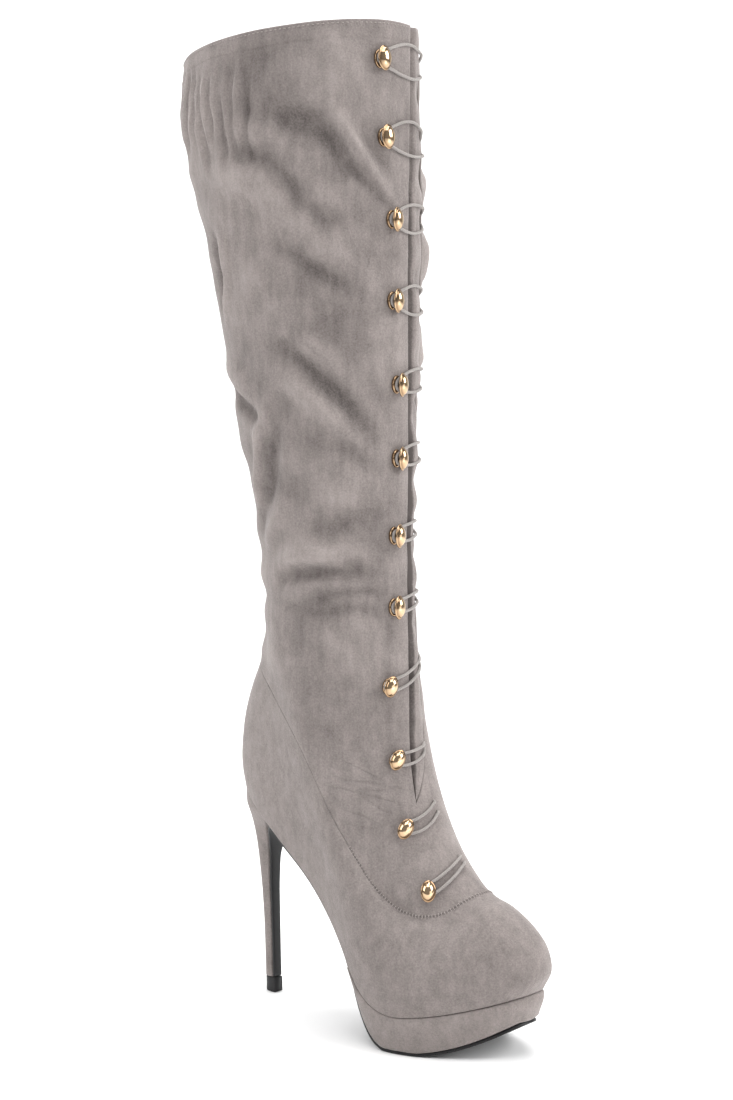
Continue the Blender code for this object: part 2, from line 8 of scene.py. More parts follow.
# %% Load the frame
import bpy
import numpy as np
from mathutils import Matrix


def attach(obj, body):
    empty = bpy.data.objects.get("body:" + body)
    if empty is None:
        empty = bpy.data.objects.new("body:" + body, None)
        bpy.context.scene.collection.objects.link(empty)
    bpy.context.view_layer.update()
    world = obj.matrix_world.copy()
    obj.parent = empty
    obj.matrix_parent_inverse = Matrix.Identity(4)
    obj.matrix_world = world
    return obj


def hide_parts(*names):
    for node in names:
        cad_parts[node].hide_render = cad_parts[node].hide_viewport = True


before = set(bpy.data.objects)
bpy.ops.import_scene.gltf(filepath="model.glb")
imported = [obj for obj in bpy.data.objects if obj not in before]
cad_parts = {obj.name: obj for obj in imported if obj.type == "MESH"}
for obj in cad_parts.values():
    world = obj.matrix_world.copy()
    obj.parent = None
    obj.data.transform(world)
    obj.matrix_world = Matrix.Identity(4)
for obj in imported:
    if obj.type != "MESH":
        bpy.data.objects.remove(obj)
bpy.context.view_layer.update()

# %% [markdown]
# ## Camera
# The boot was photographed from its outer front quarter, a little above the middle of the leg, with a
# long lens. A camera can be aimed with a constraint, but a fixed place and two angles say plainly where
# the viewer stands: the turn around the boot and the tilt down to it. A sideways shift of the picture
# brings it to the middle.

# %% Camera
MM = 0.001
CENTRE = np.array([91.965, -0.035, 0.0])
PHOTO_HEIGHT = 1100
VIEW_TURN = np.radians(40.0)
VIEW_TILT = np.radians(5.842)
VIEW_DISTANCE, VIEW_SIDESTEP, VIEW_HEIGHT = 1150.0, 96.755, 380.0
FOCAL_PIXELS = 1998.57
CENTRING_PIXELS = 74.0
SENSOR = 36.0
HEEL_TIP = np.array([20.0, 0.0, 0.0])
towards_viewer = np.array([np.sin(VIEW_TURN), -np.cos(VIEW_TURN), 0.0])
to_the_right = np.array([np.cos(VIEW_TURN), np.sin(VIEW_TURN), 0.0])
viewer = HEEL_TIP + VIEW_DISTANCE * towards_viewer + VIEW_SIDESTEP * to_the_right + (0, 0, VIEW_HEIGHT)

camera = bpy.data.objects.new("camera", bpy.data.cameras.new("camera"))
camera.location = (viewer - CENTRE) * MM
camera.rotation_euler = (np.pi / 2 - VIEW_TILT, 0, VIEW_TURN)
camera.data.sensor_width = SENSOR
camera.data.lens = SENSOR * FOCAL_PIXELS / PHOTO_HEIGHT
camera.data.shift_x = -CENTRING_PIXELS / PHOTO_HEIGHT
camera.data.clip_start = 0.01
bpy.context.scene.collection.objects.link(camera)
bpy.context.scene.camera = camera
print("lens", round(camera.data.lens, 1), "mm at", np.round(camera.location, 3).tolist())

# %% [markdown]
# ## From arrays to objects
# Every piece is a grid of points, so one helper turns arrays of points and faces into an object that
# rides on the boot and hides the solid it stands for. Points that no face uses are dropped on the way. A
# second helper puts one number on each point, for a material to read.

# %% Objects and fields
def add_piece(name, points, faces, materials, nodes=(), face_material=None):
    """Object from points in millimetres and faces with the given materials; it hides the named solids."""
    faces = np.asarray(faces)
    used, faces = np.unique(faces, return_inverse=True)
    points = (np.asarray(points, float).reshape(-1, 3)[used] - CENTRE) * MM
    mesh = bpy.data.meshes.new(name)
    mesh.from_pydata(points.tolist(), [], faces.reshape(-1, 4).tolist())
    for material in materials:
        mesh.materials.append(material)
    if face_material is not None:
        mesh.polygons.foreach_set("material_index", np.asarray(face_material, np.int32))
    mesh.shade_smooth()
    obj = bpy.data.objects.new(name, mesh)
    bpy.context.scene.collection.objects.link(obj)
    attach(obj, "root")
    if nodes:
        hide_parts(*nodes)
    return obj, used


def set_field(obj, name, values):
    """One number for each point of the mesh, for the material to read."""
    field = obj.data.attributes.new(name, "FLOAT", "POINT")
    field.data.foreach_set("value", np.asarray(values, np.float32).ravel())


print("pieces are measured in millimetres from", CENTRE.tolist())

# %% [markdown]
# A wall needs an outer grid, an inner grid and the rims between them; a tube needs rings along a path. By
# hand these would be bridged and filled edge by edge. Here both are index arithmetic on whole arrays, with
# no loop over points.

# %% Faces of walls and rings
def quads(index):
    """Four-sided faces between neighbouring rows and columns of a grid of point numbers."""
    return np.stack([index[:-1, :-1], index[:-1, 1:], index[1:, 1:], index[1:, :-1]], -1).reshape(-1, 4)


def wall_faces(rows, columns, closed):
    """Faces of a wall: outer grid, inner grid turned round, and rims along every open edge."""
    count = rows * columns
    index = np.arange(count).reshape(rows, columns)
    index[closed, -1] = index[closed, 0]
    outside, inside = quads(index), quads(index + count)[:, ::-1]
    low, high, left, right = index[0], index[-1], index[:, 0], index[:, -1]
    bottom = np.stack([low[1:], low[:-1], low[:-1] + count, low[1:] + count], -1)
    top = np.stack([high[:-1], high[1:], high[1:] + count, high[:-1] + count], -1)
    near = np.stack([left[1:], left[1:] + count, left[:-1] + count, left[:-1]], -1)
    far = np.stack([right[:-1], right[:-1] + count, right[1:] + count, right[1:]], -1)
    is_open = ~(closed[:-1] & closed[1:])
    return outside, np.concatenate([inside, bottom, top, near[is_open], far[is_open]])


def ring_faces(rows, columns):
    """Faces of a body through closed rings, with its two ends closed by strips across the ring."""
    index = np.arange(rows * columns).reshape(rows, columns)
    side = quads(np.concatenate([index, index[:, :1]], 1))
    half = columns // 2
    fold = np.arange(half)
    strips = np.stack([fold[:-1], fold[1:], columns - 1 - fold[1:], columns - 1 - fold[:-1]], -1)
    first = index[0][strips[:, ::-1]]
    last = index[-1][strips]
    return np.concatenate([side, first, last])


print("a tube of 10 rings and 12 sides has", len(ring_faces(10, 12)), "faces")

# %% [markdown]
# ## The shape of the boot
# A boot is a stack of rings round the foot and leg. Each ring runs from a point at the back to a point at
# the front, with half widths at heel, waist, ball and toe between them. The lowest ring is the feather
# edge over the sole and dips along the arch; the ring at the foot seam dips from the ankle to the apron
# on the vamp. One smooth function of level and angle then gives the whole outside, and its normal gives
# wall and folds.

# %% Rings of the boot
# back x, back z, front x, front z, half width at heel, waist, ball, toe, feather dip, seam dip
RINGS = np.array([
    (1.5, 125.0, 206.0, 36.5, 28.0, 25.0, 43.0, 38.0, 1.00, 0.00),
    (-1.0, 140.0, 212.0, 48.5, 30.5, 29.0, 45.0, 39.5, 0.85, 0.15),
    (0.0, 155.0, 209.5, 61.0, 31.0, 32.0, 45.0, 39.5, 0.65, 0.35),
    (3.0, 170.0, 201.0, 71.5, 31.0, 35.0, 42.5, 38.0, 0.40, 0.60),
    (9.0, 186.0, 188.0, 80.0, 31.0, 37.0, 38.5, 37.0, 0.20, 0.80),
    (16.0, 200.0, 173.0, 86.0, 31.0, 38.0, 35.2, 36.0, 0.00, 1.00),
    (19.0, 209.0, 156.0, 101.5, 31.5, 38.0, 34.0, 31.0, 0.00, 0.80),
    (22.0, 219.0, 142.5, 124.5, 33.0, 38.0, 34.5, 30.0, 0.00, 0.55),
    (23.5, 231.0, 131.5, 156.0, 34.5, 38.0, 35.5, 32.0, 0.00, 0.30),
    (23.5, 246.0, 124.0, 195.0, 35.0, 37.5, 36.5, 34.0, 0.00, 0.10),
    (22.0, 266.0, 119.0, 250.0, 35.0, 36.0, 36.0, 35.0, 0.00, 0.00),
    (12.0, 313.0, 118.0, 307.0, 39.5, 40.5, 40.5, 39.5, 0.00, 0.00),
    (3.5, 355.0, 118.5, 353.0, 43.5, 44.5, 44.5, 43.5, 0.00, 0.00),
    (-7.5, 405.0, 119.5, 407.0, 48.0, 49.0, 49.0, 48.0, 0.00, 0.00),
    (-18.5, 455.0, 120.0, 460.0, 53.0, 54.0, 54.0, 53.0, 0.00, 0.00),
    (-27.5, 488.0, 118.5, 495.0, 55.5, 56.5, 56.5, 55.5, 0.00, 0.00),
    (-28.0, 536.0, 116.0, 552.0, 55.5, 56.5, 56.5, 55.5, 0.00, 0.00),
])
LEVELS = np.arange(len(RINGS), dtype=float)
SEAM_LEVEL, SLIT_END_LEVEL, ROUND_LEVEL, COLLAR_LEVEL = 5.0, 7.2, 8.0, LEVELS[-1]
STATIONS = np.array([-0.02, 0.10, 0.40, 0.70, 0.93, 1.02])
STATION_BASIS = np.eye(4)[[0, 0, 1, 2, 3, 3]]
FOOT_ROUNDNESS = 0.86
# Feather edge and foot seam seen from the side: x, z
FEATHER = np.array([
    (1.5, 125.0), (30.0, 109.5), (48.0, 97.5), (69.5, 81.5), (97.0, 54.0),
    (118.0, 31.5), (138.0, 22.5), (160.0, 23.5), (184.0, 29.2), (206.0, 36.5),
])
SEAM = np.array([
    (16.0, 200.0), (45.0, 184.0), (80.0, 156.0), (105.0, 118.0),
    (130.0, 85.0), (150.0, 75.0), (163.0, 77.5), (173.0, 86.0),
])
TOE_INFLARE, TOE_INFLARE_START, TOE_INFLARE_POWER = 8.0, 0.55, 1.5
WAIST_OUTFLARE, WAIST_SHARE, WAIST_SPREAD, INFLARE_FADE_LEVEL = 2.0, 0.45, 0.2, 9.0
# Front opening: level, y of the outer flap's edge, width of the gap
OPENING = np.array([
    (7.2, -9.0, 0.0), (8.0, -6.0, 10.0), (9.0, 0.0, 13.0), (10.0, 5.5, 14.0), (11.0, 7.5, 16.0),
    (12.0, 7.0, 19.0), (13.0, 5.0, 21.0), (14.0, 6.0, 21.0), (15.0, 9.0, 20.0), (16.0, 14.0, 18.0),
])
print("rings:", len(RINGS), "collar at", RINGS[-1, 3], "mm")

# %% [markdown]
# Between the rows of a table a smooth curve is wanted that passes through every row. A curve object could
# draw it, but a cubic worked out on arrays gives all points at once and needs no object. The two edge
# lines are kept as their height over a straight line, and the foot bends inward at the toe.

# %% Curves through a table
def smooth(nodes, values, where):
    """Cubic curve through rows of a table: each slope is the average of the rates to its two neighbours."""
    nodes, values = np.asarray(nodes, float), np.asarray(values, float)
    extra = (1,) * (values.ndim - 1)
    step = np.diff(nodes).reshape((-1,) + extra)
    rate = np.diff(values, axis=0) / step
    slope = np.concatenate([rate[:1], rate[:1].repeat(len(nodes) - 2, 0), rate[-1:]])
    slope[1:-1] = (rate[:-1] * step[1:] + rate[1:] * step[:-1]) / (step[:-1] + step[1:])
    where = np.clip(np.asarray(where, float), nodes[0], nodes[-1])
    i = np.clip(np.searchsorted(nodes, where, side="right") - 1, 0, len(nodes) - 2)
    span = (nodes[i + 1] - nodes[i]).reshape(where.shape + extra)
    u = (where - nodes[i]).reshape(where.shape + extra) / span
    start = (1 + 2 * u) * (1 - u) ** 2 * values[i] + u * (1 - u) ** 2 * span * slope[i]
    end = u * u * (3 - 2 * u) * values[i + 1] + u * u * (u - 1) * span * slope[i + 1]
    return start + end


def run_along(line):
    """Distance along a line of points, counted from its first point."""
    return np.concatenate([[0], np.cumsum(np.linalg.norm(np.diff(line, axis=0), axis=1))])


def dip(line, share):
    """Height of a side-view line above the straight line between its two ends."""
    x = line[0, 0] + (line[-1, 0] - line[0, 0]) * share
    chord = line[0, 1] + (line[-1, 1] - line[0, 1]) * share
    return smooth(line[:, 0], line[:, 1], x) - chord


def seam_dip(level, row, x, share):
    """Dip of the seam line: stretched to the ring's length below the seam, kept at its own x above it."""
    run = SEAM[-1, 0] - SEAM[0, 0]
    ends = (x, row[..., 0], row[..., 2])
    kept, back, front = (dip(SEAM, np.clip((v - SEAM[0, 0]) / run, 0, 1)) for v in ends)
    kept = kept - (1 - share) * back - share * front
    return np.where(level > SEAM_LEVEL, kept, dip(SEAM, share))


def inflare(share):
    """Sideways bend of the foot's centre line: inward at the toe, slightly outward at the waist."""
    forefoot = np.clip((share - TOE_INFLARE_START) / (1 - TOE_INFLARE_START), 0, 1)
    waist = np.exp(-((share - WAIST_SHARE) / WAIST_SPREAD) ** 2)
    return TOE_INFLARE * forefoot ** TOE_INFLARE_POWER - WAIST_OUTFLARE * waist


print("feather edge at mid foot:", round(float(dip(FEATHER, 0.5)), 1), "mm off a straight line")

# %% [markdown]
# The outside of the boot is a function of two numbers: the level, which counts the rings, and the angle
# round the ring, from the back over the outer side to the front. Lofted curves would skin the rings too,
# but a function can be asked for any point later, for a button, a seam or a stitch.

# %% Outside of the boot
def surface(level, phi):
    """Outside of the boot: x and z run from back to front by the cosine of phi, y by a power of its sine."""
    level, phi = np.broadcast_arrays(np.asarray(level, float), np.asarray(phi, float))
    row = smooth(LEVELS, RINGS, level)
    share = (1 - np.cos(phi)) / 2
    x = row[..., 0] + (row[..., 2] - row[..., 0]) * share
    z = row[..., 1] + (row[..., 3] - row[..., 1]) * share
    z = z + row[..., 8] * dip(FEATHER, share) + row[..., 9] * seam_dip(level, row, x, share)
    half = (smooth(STATIONS, STATION_BASIS, share) * row[..., 4:8]).sum(-1)
    roundness = np.interp(level, [SEAM_LEVEL, ROUND_LEVEL], [FOOT_ROUNDNESS, 1.0])
    y = -np.sign(np.sin(phi)) * half * np.abs(np.sin(phi)) ** roundness
    y = y + inflare(share) * np.clip(1 - level / INFLARE_FADE_LEVEL, 0, 1)
    return np.stack([x, y, z], -1)


toe, collar_back = surface(1.0, np.pi), surface(COLLAR_LEVEL, 0.0)
print("toe at", np.round(toe, 1).tolist(), "collar back at", np.round(collar_back, 1).tolist())

# %% [markdown]
# A wall, a fold or a button stands square on the surface. The two tangents come from points a small step
# apart, and their cross product points outward. Blender works out the normals of a finished mesh, but
# here they are needed before there is one.

# %% Directions on the surface
def unit(v):
    """Vectors brought to length one."""
    return v / np.linalg.norm(v, axis=-1, keepdims=True)


def tangents(level, phi):
    """Rates of the surface along the ring and up the boot, from points a small step apart."""
    d_phi, d_level = 0.01, 0.02
    low, high = np.clip(level - d_level, 0, COLLAR_LEVEL), np.clip(level + d_level, 0, COLLAR_LEVEL)
    along = (surface(level, phi + d_phi) - surface(level, phi - d_phi)) / (2 * d_phi)
    up = (surface(high, phi) - surface(low, phi)) / (high - low)[..., None]
    return along, up


def normal_of(level, phi):
    """Outward direction: the cross product of the two tangents, brought to length one."""
    level, phi = np.broadcast_arrays(np.asarray(level, float), np.asarray(phi, float))
    return unit(np.cross(*tangents(level, phi)))


print("outward at the toe:", np.round(normal_of(1.0, np.pi), 2).tolist())

# %% [markdown]
# Slit, buttons and folds are given in a maker's terms, by a height and a place across. Three helpers look
# up the level and the angle that belong to them, by reading a fine table of the surface backwards.

# %% Places on the surface
FRONT_HALF_TURN, FRONT_STEPS, LEVEL_STEPS = 1.3, 521, 441


def front_phi(level, y):
    """Angle at which the ring of a level crosses a given y on the front of the boot."""
    phi = np.linspace(np.pi - FRONT_HALF_TURN, np.pi + FRONT_HALF_TURN, FRONT_STEPS)
    rings = surface(np.atleast_1d(level)[:, None], phi[None, :])[..., 1]
    return np.array([np.interp(v, ring, phi) for v, ring in zip(np.broadcast_to(y, len(rings)), rings)])


def opening_phi(level):
    """Angles of the outer and inner edges of the front opening at the given levels."""
    level = np.atleast_1d(np.asarray(level, float))
    rows = smooth(OPENING[:, 0], OPENING[:, 1:], level)
    return front_phi(level, rows[:, 0]), front_phi(level, rows[:, 0] + np.maximum(rows[:, 1], 0))


def leg_place(turn, z):
    """Level and angle of points given by their turn from the back in degrees and their height."""
    level = np.linspace(SEAM_LEVEL, COLLAR_LEVEL, LEVEL_STEPS)
    phi = np.radians(np.asarray(turn, float))
    heights = surface(level[:, None], phi[None, :])[..., 2]
    found = [np.interp(h, column, level) for h, column in zip(np.asarray(z, float), heights.T)]
    return np.array(found), phi


print("slit at the collar, degrees:", np.degrees(opening_phi(COLLAR_LEVEL)).ravel().round(1).tolist())

# %% [markdown]
# ## Folds of the slack leg
# The leg is soft and a little too long, so it hangs in slanting folds that run from the back down to the
# buttons, and in rings above the ankle. A cloth simulation would give other folds each time its settings
# change, so each fold is listed instead: a path on the leg, a half width and a height, positive
# for a ridge and negative for a trough. A bell curve of the distance to the path gives its cross section.

# %% Table of folds
# height, half width, path of (turn from the back in degrees, height above the floor)
OUTER_FOLDS = [
    (3.9, 3.6, [(142, 503), (149, 488), (158, 472), (173, 455)]),
    (-3.8, 6.0, [(104, 503), (121, 498), (132, 498), (140, 489), (148, 474), (166, 457)]),
    (-3.4, 7.0, [(84, 495), (95, 484), (109, 478), (118, 468), (122, 457), (135, 445)]),
    (2.6, 7.0, [(97, 498), (112, 487), (121, 475), (129, 463), (142, 453)]),
    (2.2, 9.0, [(68, 475), (102, 466), (118, 454)]),
    (-2.4, 4.5, [(105, 435), (121, 424), (130, 417), (143, 407)]),
    (1.6, 8.0, [(110, 446), (128, 434), (146, 424)]),
    (2.8, 4.0, [(70, 442), (72, 423), (61, 394)]),
    (-2.8, 4.0, [(64, 440), (61, 417), (54, 398)]),
    (-1.8, 9.0, [(118, 392), (135, 382), (152, 373)]),
    (-3.0, 5.5, [(94, 384), (111, 376), (121, 366), (131, 356), (141, 345), (154, 330), (170, 318)]),
    (2.0, 7.0, [(110, 386), (125, 378), (144, 367)]),
    (2.4, 6.0, [(102, 364), (119, 350), (132, 338), (150, 325)]),
    (-1.8, 5.0, [(124, 328), (137, 322), (151, 313)]),
    (3.0, 5.0, [(92, 355), (79, 334), (71, 318), (62, 295)]),
    (-2.8, 6.0, [(96, 339), (87, 321), (75, 291)]),
    (-3.4, 4.0, [(40, 356), (58, 349), (70, 344), (83, 336)]),
    (2.8, 8.0, [(36, 368), (56, 363), (72, 357)]),
    (2.6, 5.0, [(76, 261), (95, 265), (116, 267), (135, 267), (158, 269)]),
    (-2.6, 4.5, [(74, 248), (86, 253), (108, 258), (129, 257), (156, 255)]),
    (1.4, 3.6, [(88, 246), (110, 251), (130, 252), (154, 251)]),
    (-1.9, 3.4, [(85, 238), (111, 243), (122, 246), (135, 247), (151, 247), (168, 242)]),
    (-1.7, 3.4, [(82, 239), (104, 235), (116, 235), (127, 238), (144, 237), (163, 233)]),
    (-0.9, 2.4, [(152, 227), (178, 227)]),
    (-2.0, 8.0, [(106, 279), (126, 282), (145, 288), (162, 283)]),
    (2.0, 5.0, [(96, 302), (80, 283), (60, 269)]),
    (-2.0, 5.0, [(82, 308), (67, 290), (52, 275)]),
    (-0.7, 2.2, [(71, 215), (82, 212), (94, 211)]),
]
INNER_FOLDS = [
    (-2.6, 7.0, [(-152, 468), (-122, 490), (-92, 499)]),
    (2.4, 6.5, [(-158, 455), (-130, 478), (-98, 488)]),
    (-2.4, 6.0, [(-152, 395), (-125, 415), (-92, 427)]),
    (2.0, 7.0, [(-150, 408), (-124, 428), (-96, 440)]),
    (-2.8, 6.0, [(-165, 338), (-135, 362), (-98, 379)]),
    (2.2, 6.5, [(-162, 352), (-130, 375), (-102, 390)]),
    (-2.2, 8.0, [(-152, 290), (-120, 302), (-82, 292)]),
    (2.0, 6.0, [(-100, 330), (-84, 312), (-66, 296)]),
    (-2.2, 4.5, [(-62, 246), (-100, 257), (-145, 256)]),
    (2.2, 5.0, [(-60, 262), (-100, 268), (-150, 268)]),
    (-1.8, 3.8, [(-80, 237), (-115, 245), (-158, 241)]),
    (-0.8, 2.2, [(-150, 228), (-174, 228)]),
]
BACK_FOLDS = [
    (0.7, 6.0, [(52, 256), (20, 251), (-20, 251), (-52, 257)]),
    (-0.9, 5.0, [(50, 241), (20, 239), (-20, 240), (-52, 244)]),
    (-1.8, 7.0, [(30, 428), (0, 420), (-34, 430)]),
    (-2.2, 6.0, [(36, 352), (0, 342), (-40, 350)]),
    (1.8, 8.0, [(34, 366), (0, 358), (-38, 364)]),
    (-1.6, 7.0, [(44, 298), (0, 290), (-46, 300)]),
]
FLAP_FOLDS = [
    (1.0, 8.0, [(-143, 478), (-140, 470), (-142, 460)]),
    (4.2, 8.0, [(-146, 441), (-141, 430), (-146, 418)]),
    (2.4, 8.0, [(-146, 392), (-143, 382), (-146, 370)]),
    (2.2, 7.0, [(-150, 349), (-147, 340), (-150, 330)]),
    (1.6, 7.0, [(-153, 306), (-150, 298), (-153, 288)]),
    (1.4, 6.0, [(-158, 264), (-156, 256), (-158, 248)]),
]
print("folds placed:", len(OUTER_FOLDS + INNER_FOLDS + BACK_FOLDS + FLAP_FOLDS))

# %% [markdown]
# Twelve buttons stand in a row on the outer flap. Their places are needed now, because the suede is held
# flat round each of them and every fold fades out there.

# %% Places of the buttons
BUTTON_STEPS = 331
# z and y of the base, rise of the loop's ends, half their spread, slack
BUTTONS = np.array([
    (531.0, -13.0, 1.0, 3.0, 6.0), (490.0, -12.5, -1.5, 3.4, 6.0), (447.0, -8.5, 2.5, 2.2, 5.2),
    (404.0, -7.5, 1.0, 2.8, 5.0), (359.0, -4.0, 4.0, 3.0, 3.2), (319.0, -3.5, 4.0, 3.0, 2.6),
    (277.0, -5.5, 3.0, 2.5, 1.8), (238.0, -7.0, 4.0, 2.0, 1.2), (195.5, -13.5, 12.5, 1.2, 0.5),
    (156.0, -14.5, 9.5, 1.2, 0.8), (119.5, -17.5, 18.0, 2.8, 0.5), (87.5, -18.5, 19.0, 2.8, 0.5),
])


def button_place(z, y):
    """Level and angle of the front point with a given height and y."""
    level = np.linspace(SEAM_LEVEL, COLLAR_LEVEL, BUTTON_STEPS)
    phi = front_phi(level, y)
    found = np.interp(z, surface(level, phi)[:, 2], level)
    return found, front_phi(found, y)[0]


BUTTON_PLACES = [button_place(z, y) for z, y in BUTTONS[:, :2]]
BUTTON_FEET = np.array([surface(level, phi) for level, phi in BUTTON_PLACES])
print("buttons from", BUTTON_FEET[-1, 2].round(1), "to", BUTTON_FEET[0, 2].round(1), "mm above the floor")

# %% [markdown]
# Below the collar the back is gathered on hidden elastic, which draws the suede into short upright
# pleats, each a ridge with a hollow beside it. A seeded random generator spaces them unevenly, so that
# they look sewn and not printed, and yet come out the same each time. A few long waves keep the rest from
# being dead smooth.

# %% Gathers and waves
GATHER_TURNS = np.arange(-88.0, 98.0, 7.4)
GATHER_TOP, GATHER_FOOT, GATHER_SIDE_RISE = 523.0, 482.0, 8.0
GATHER_HEIGHT, GATHER_WIDTH, GATHER_SIZES = 3.4, 2.7, (0.6, 1.2)
GATHER_HOLLOW, GATHER_HOLLOW_TURN = 0.6, 3.7
TOP_SWAY, TOP_SPREAD, FOOT_SWAY, FOOT_SPREAD = 2, 3, 3, 14
WAVE_COUNT, WAVE_LENGTHS = 22, (28, 70)

rng = np.random.default_rng(11)
gathers = [
    (GATHER_HEIGHT * rng.uniform(*GATHER_SIZES), GATHER_WIDTH,
     [(turn + rng.uniform(-TOP_SWAY, TOP_SWAY),
       GATHER_TOP + rng.uniform(-TOP_SPREAD, TOP_SPREAD) + GATHER_SIDE_RISE * abs(turn) / 90),
      (turn + rng.uniform(-FOOT_SWAY, FOOT_SWAY), GATHER_FOOT + rng.uniform(-FOOT_SPREAD, FOOT_SPREAD))])
    for turn in GATHER_TURNS
]
gathers += [(-GATHER_HOLLOW * size, width, [(turn + GATHER_HOLLOW_TURN, z) for turn, z in path])
            for size, width, path in gathers]
wave_vectors = rng.normal(size=(WAVE_COUNT, 3)) * 2 * np.pi / rng.uniform(*WAVE_LENGTHS, (WAVE_COUNT, 1))
wave_phases = rng.uniform(0, 2 * np.pi, WAVE_COUNT)
print("gathers with their hollows:", len(gathers), "faint waves:", WAVE_COUNT)

# %% [markdown]
# One function adds up all folds at a place. For each fold only the points near its path are looked at,
# which keeps the sum quick on a large grid.

# %% Fold field
FOLD_GAIN, FOLD_POINTS, FOLD_REACH, FOLD_FADE = 1.3, 28, 3, 0.7
WAVE_HEIGHT, WAVE_START, WAVE_RUN = 0.20, 130, 90
BUTTON_REST = 8.0


def fold_ridge(points, path, half_width):
    """Bell curve of the distance to a path, faded towards the path's two ends."""
    path = np.asarray(path, float)
    run = np.linspace(0, 1, len(path))
    fine = smooth(run, path, np.linspace(0, 1, FOLD_POINTS))
    line = surface(*leg_place(fine[:, 0], fine[:, 1]))
    reach = FOLD_REACH * half_width
    near = np.all((points > line.min(0) - reach) & (points < line.max(0) + reach), -1)
    ridge = np.zeros(points.shape[:-1])
    if not near.any():
        return ridge
    gap = np.linalg.norm(points[near][:, None] - line[None], axis=-1)
    nearest = gap.argmin(1)
    fade = np.sin(np.pi * (nearest + 1) / (len(line) + 1)) ** FOLD_FADE
    ridge[near] = fade * np.exp(-(gap.min(1) / half_width) ** 2)
    return ridge


def fold_height(points):
    """Sum of all folds, gathers and a faint waviness, held flat round the buttons and on the foot."""
    height = np.zeros(points.shape[:-1])
    for size, half_width, path in OUTER_FOLDS + INNER_FOLDS + BACK_FOLDS + FLAP_FOLDS + gathers:
        height += FOLD_GAIN * size * fold_ridge(points, path, half_width)
    waves = np.sin(points @ wave_vectors.T + wave_phases).sum(-1)
    height += WAVE_HEIGHT * waves * np.clip((points[..., 2] - WAVE_START) / WAVE_RUN, 0, 1)
    gap = np.linalg.norm(points[..., None, :] - BUTTON_FEET, axis=-1).min(-1)
    return height * (1 - np.exp(-(gap / BUTTON_REST) ** 4))


print("most lift at a button:", np.abs(fold_height(BUTTON_FEET)).max().round(3), "mm")

# %% [markdown]
# ## Material helpers
# A material is a small graph of nodes. These helpers make an empty one and the nodes that say what it
# reads: a place on the object, a noise at that place, or a number that the mesh carries. In the shader
# editor the same graph takes many clicks, and in code it can be read from top to bottom.

# %% Materials and what they read
def new_material(name, roughness, metallic=0.0):
    """Empty principled material; returns the material, its nodes, a function that links, and its shader."""
    material = bpy.data.materials.new(name)
    material.use_nodes = True
    tree = material.node_tree
    shader = tree.nodes["Principled BSDF"]
    shader.inputs["Roughness"].default_value = roughness
    shader.inputs["Metallic"].default_value = metallic
    return material, tree.nodes, tree.links.new, shader


def noise_node(nodes, link, place, scale, detail=3.0, roughness=0.55):
    """Cloud noise read at a place, as a number from 0 to 1."""
    node = nodes.new("ShaderNodeTexNoise")
    node.inputs["Scale"].default_value = scale
    node.inputs["Detail"].default_value = detail
    node.inputs["Roughness"].default_value = roughness
    link(place, node.inputs["Vector"])
    return node.outputs["Fac"]


def stretched(nodes, link, scale):
    """Object coordinates with each axis scaled on its own, for a brushed direction."""
    coordinates = nodes.new("ShaderNodeTexCoord")
    mapping = nodes.new("ShaderNodeMapping")
    mapping.inputs["Scale"].default_value = scale
    link(coordinates.outputs["Object"], mapping.inputs["Vector"])
    return mapping.outputs["Vector"]


def field_node(nodes, name):
    """Number that a mesh carries on its points under a name."""
    node = nodes.new("ShaderNodeAttribute")
    node.attribute_name = name
    return node.outputs["Fac"]


print("materials before the first finish:", len(bpy.data.materials))

# %% [markdown]
# What is read is then worked into a look: by a step of arithmetic, a blend of two tones for the colour, or
# a relief. The relief only turns the normals, which is enough for nap, weave and grain.

# %% Tone and relief
def arithmetic(nodes, link, operation, *values):
    """One math node; a value is a number or another node's output."""
    node = nodes.new("ShaderNodeMath")
    node.operation = operation
    for socket, value in zip(node.inputs, values):
        if isinstance(value, (int, float)):
            socket.default_value = value
        else:
            link(value, socket)
    return node.outputs[0]


def two_tones(nodes, link, factor, dark, light, low=0.0, high=1.0):
    """Blend from a dark to a light tone while the factor goes from low to high."""
    ramp = nodes.new("ShaderNodeValToRGB")
    ramp.color_ramp.elements[0].position = low
    ramp.color_ramp.elements[1].position = high
    ramp.color_ramp.elements[0].color = (*dark, 1.0)
    ramp.color_ramp.elements[1].color = (*light, 1.0)
    link(factor, ramp.inputs["Fac"])
    return ramp.outputs["Color"]


def bumped(nodes, link, shader, height, distance, strength=1.0):
    """Small relief on the shader from a height between 0 and 1, with its depth in metres."""
    bump = nodes.new("ShaderNodeBump")
    bump.inputs["Distance"].default_value = distance
    bump.inputs["Strength"].default_value = strength
    link(height, bump.inputs["Height"])
    link(bump.outputs["Normal"], shader.inputs["Normal"])


print("tone and relief helpers ready")

# %% [markdown]
# ## Fine creases
# Over the instep the suede is crossed by creases that are too fine for the mesh. They are the lines where
# a flattened, slanting noise passes its middle value, and a field on the points of the leg says where
# they show. Each line is a small relief and a painted shade that darkens the suede along it.

# %% Fine creases
CREASE_SLOPE, CREASE_STRETCH, CREASE_SHARPNESS = np.radians(22.0), 3.6, 17.0
CREASE_NOISE = (150.0, 0.4, 0.4)


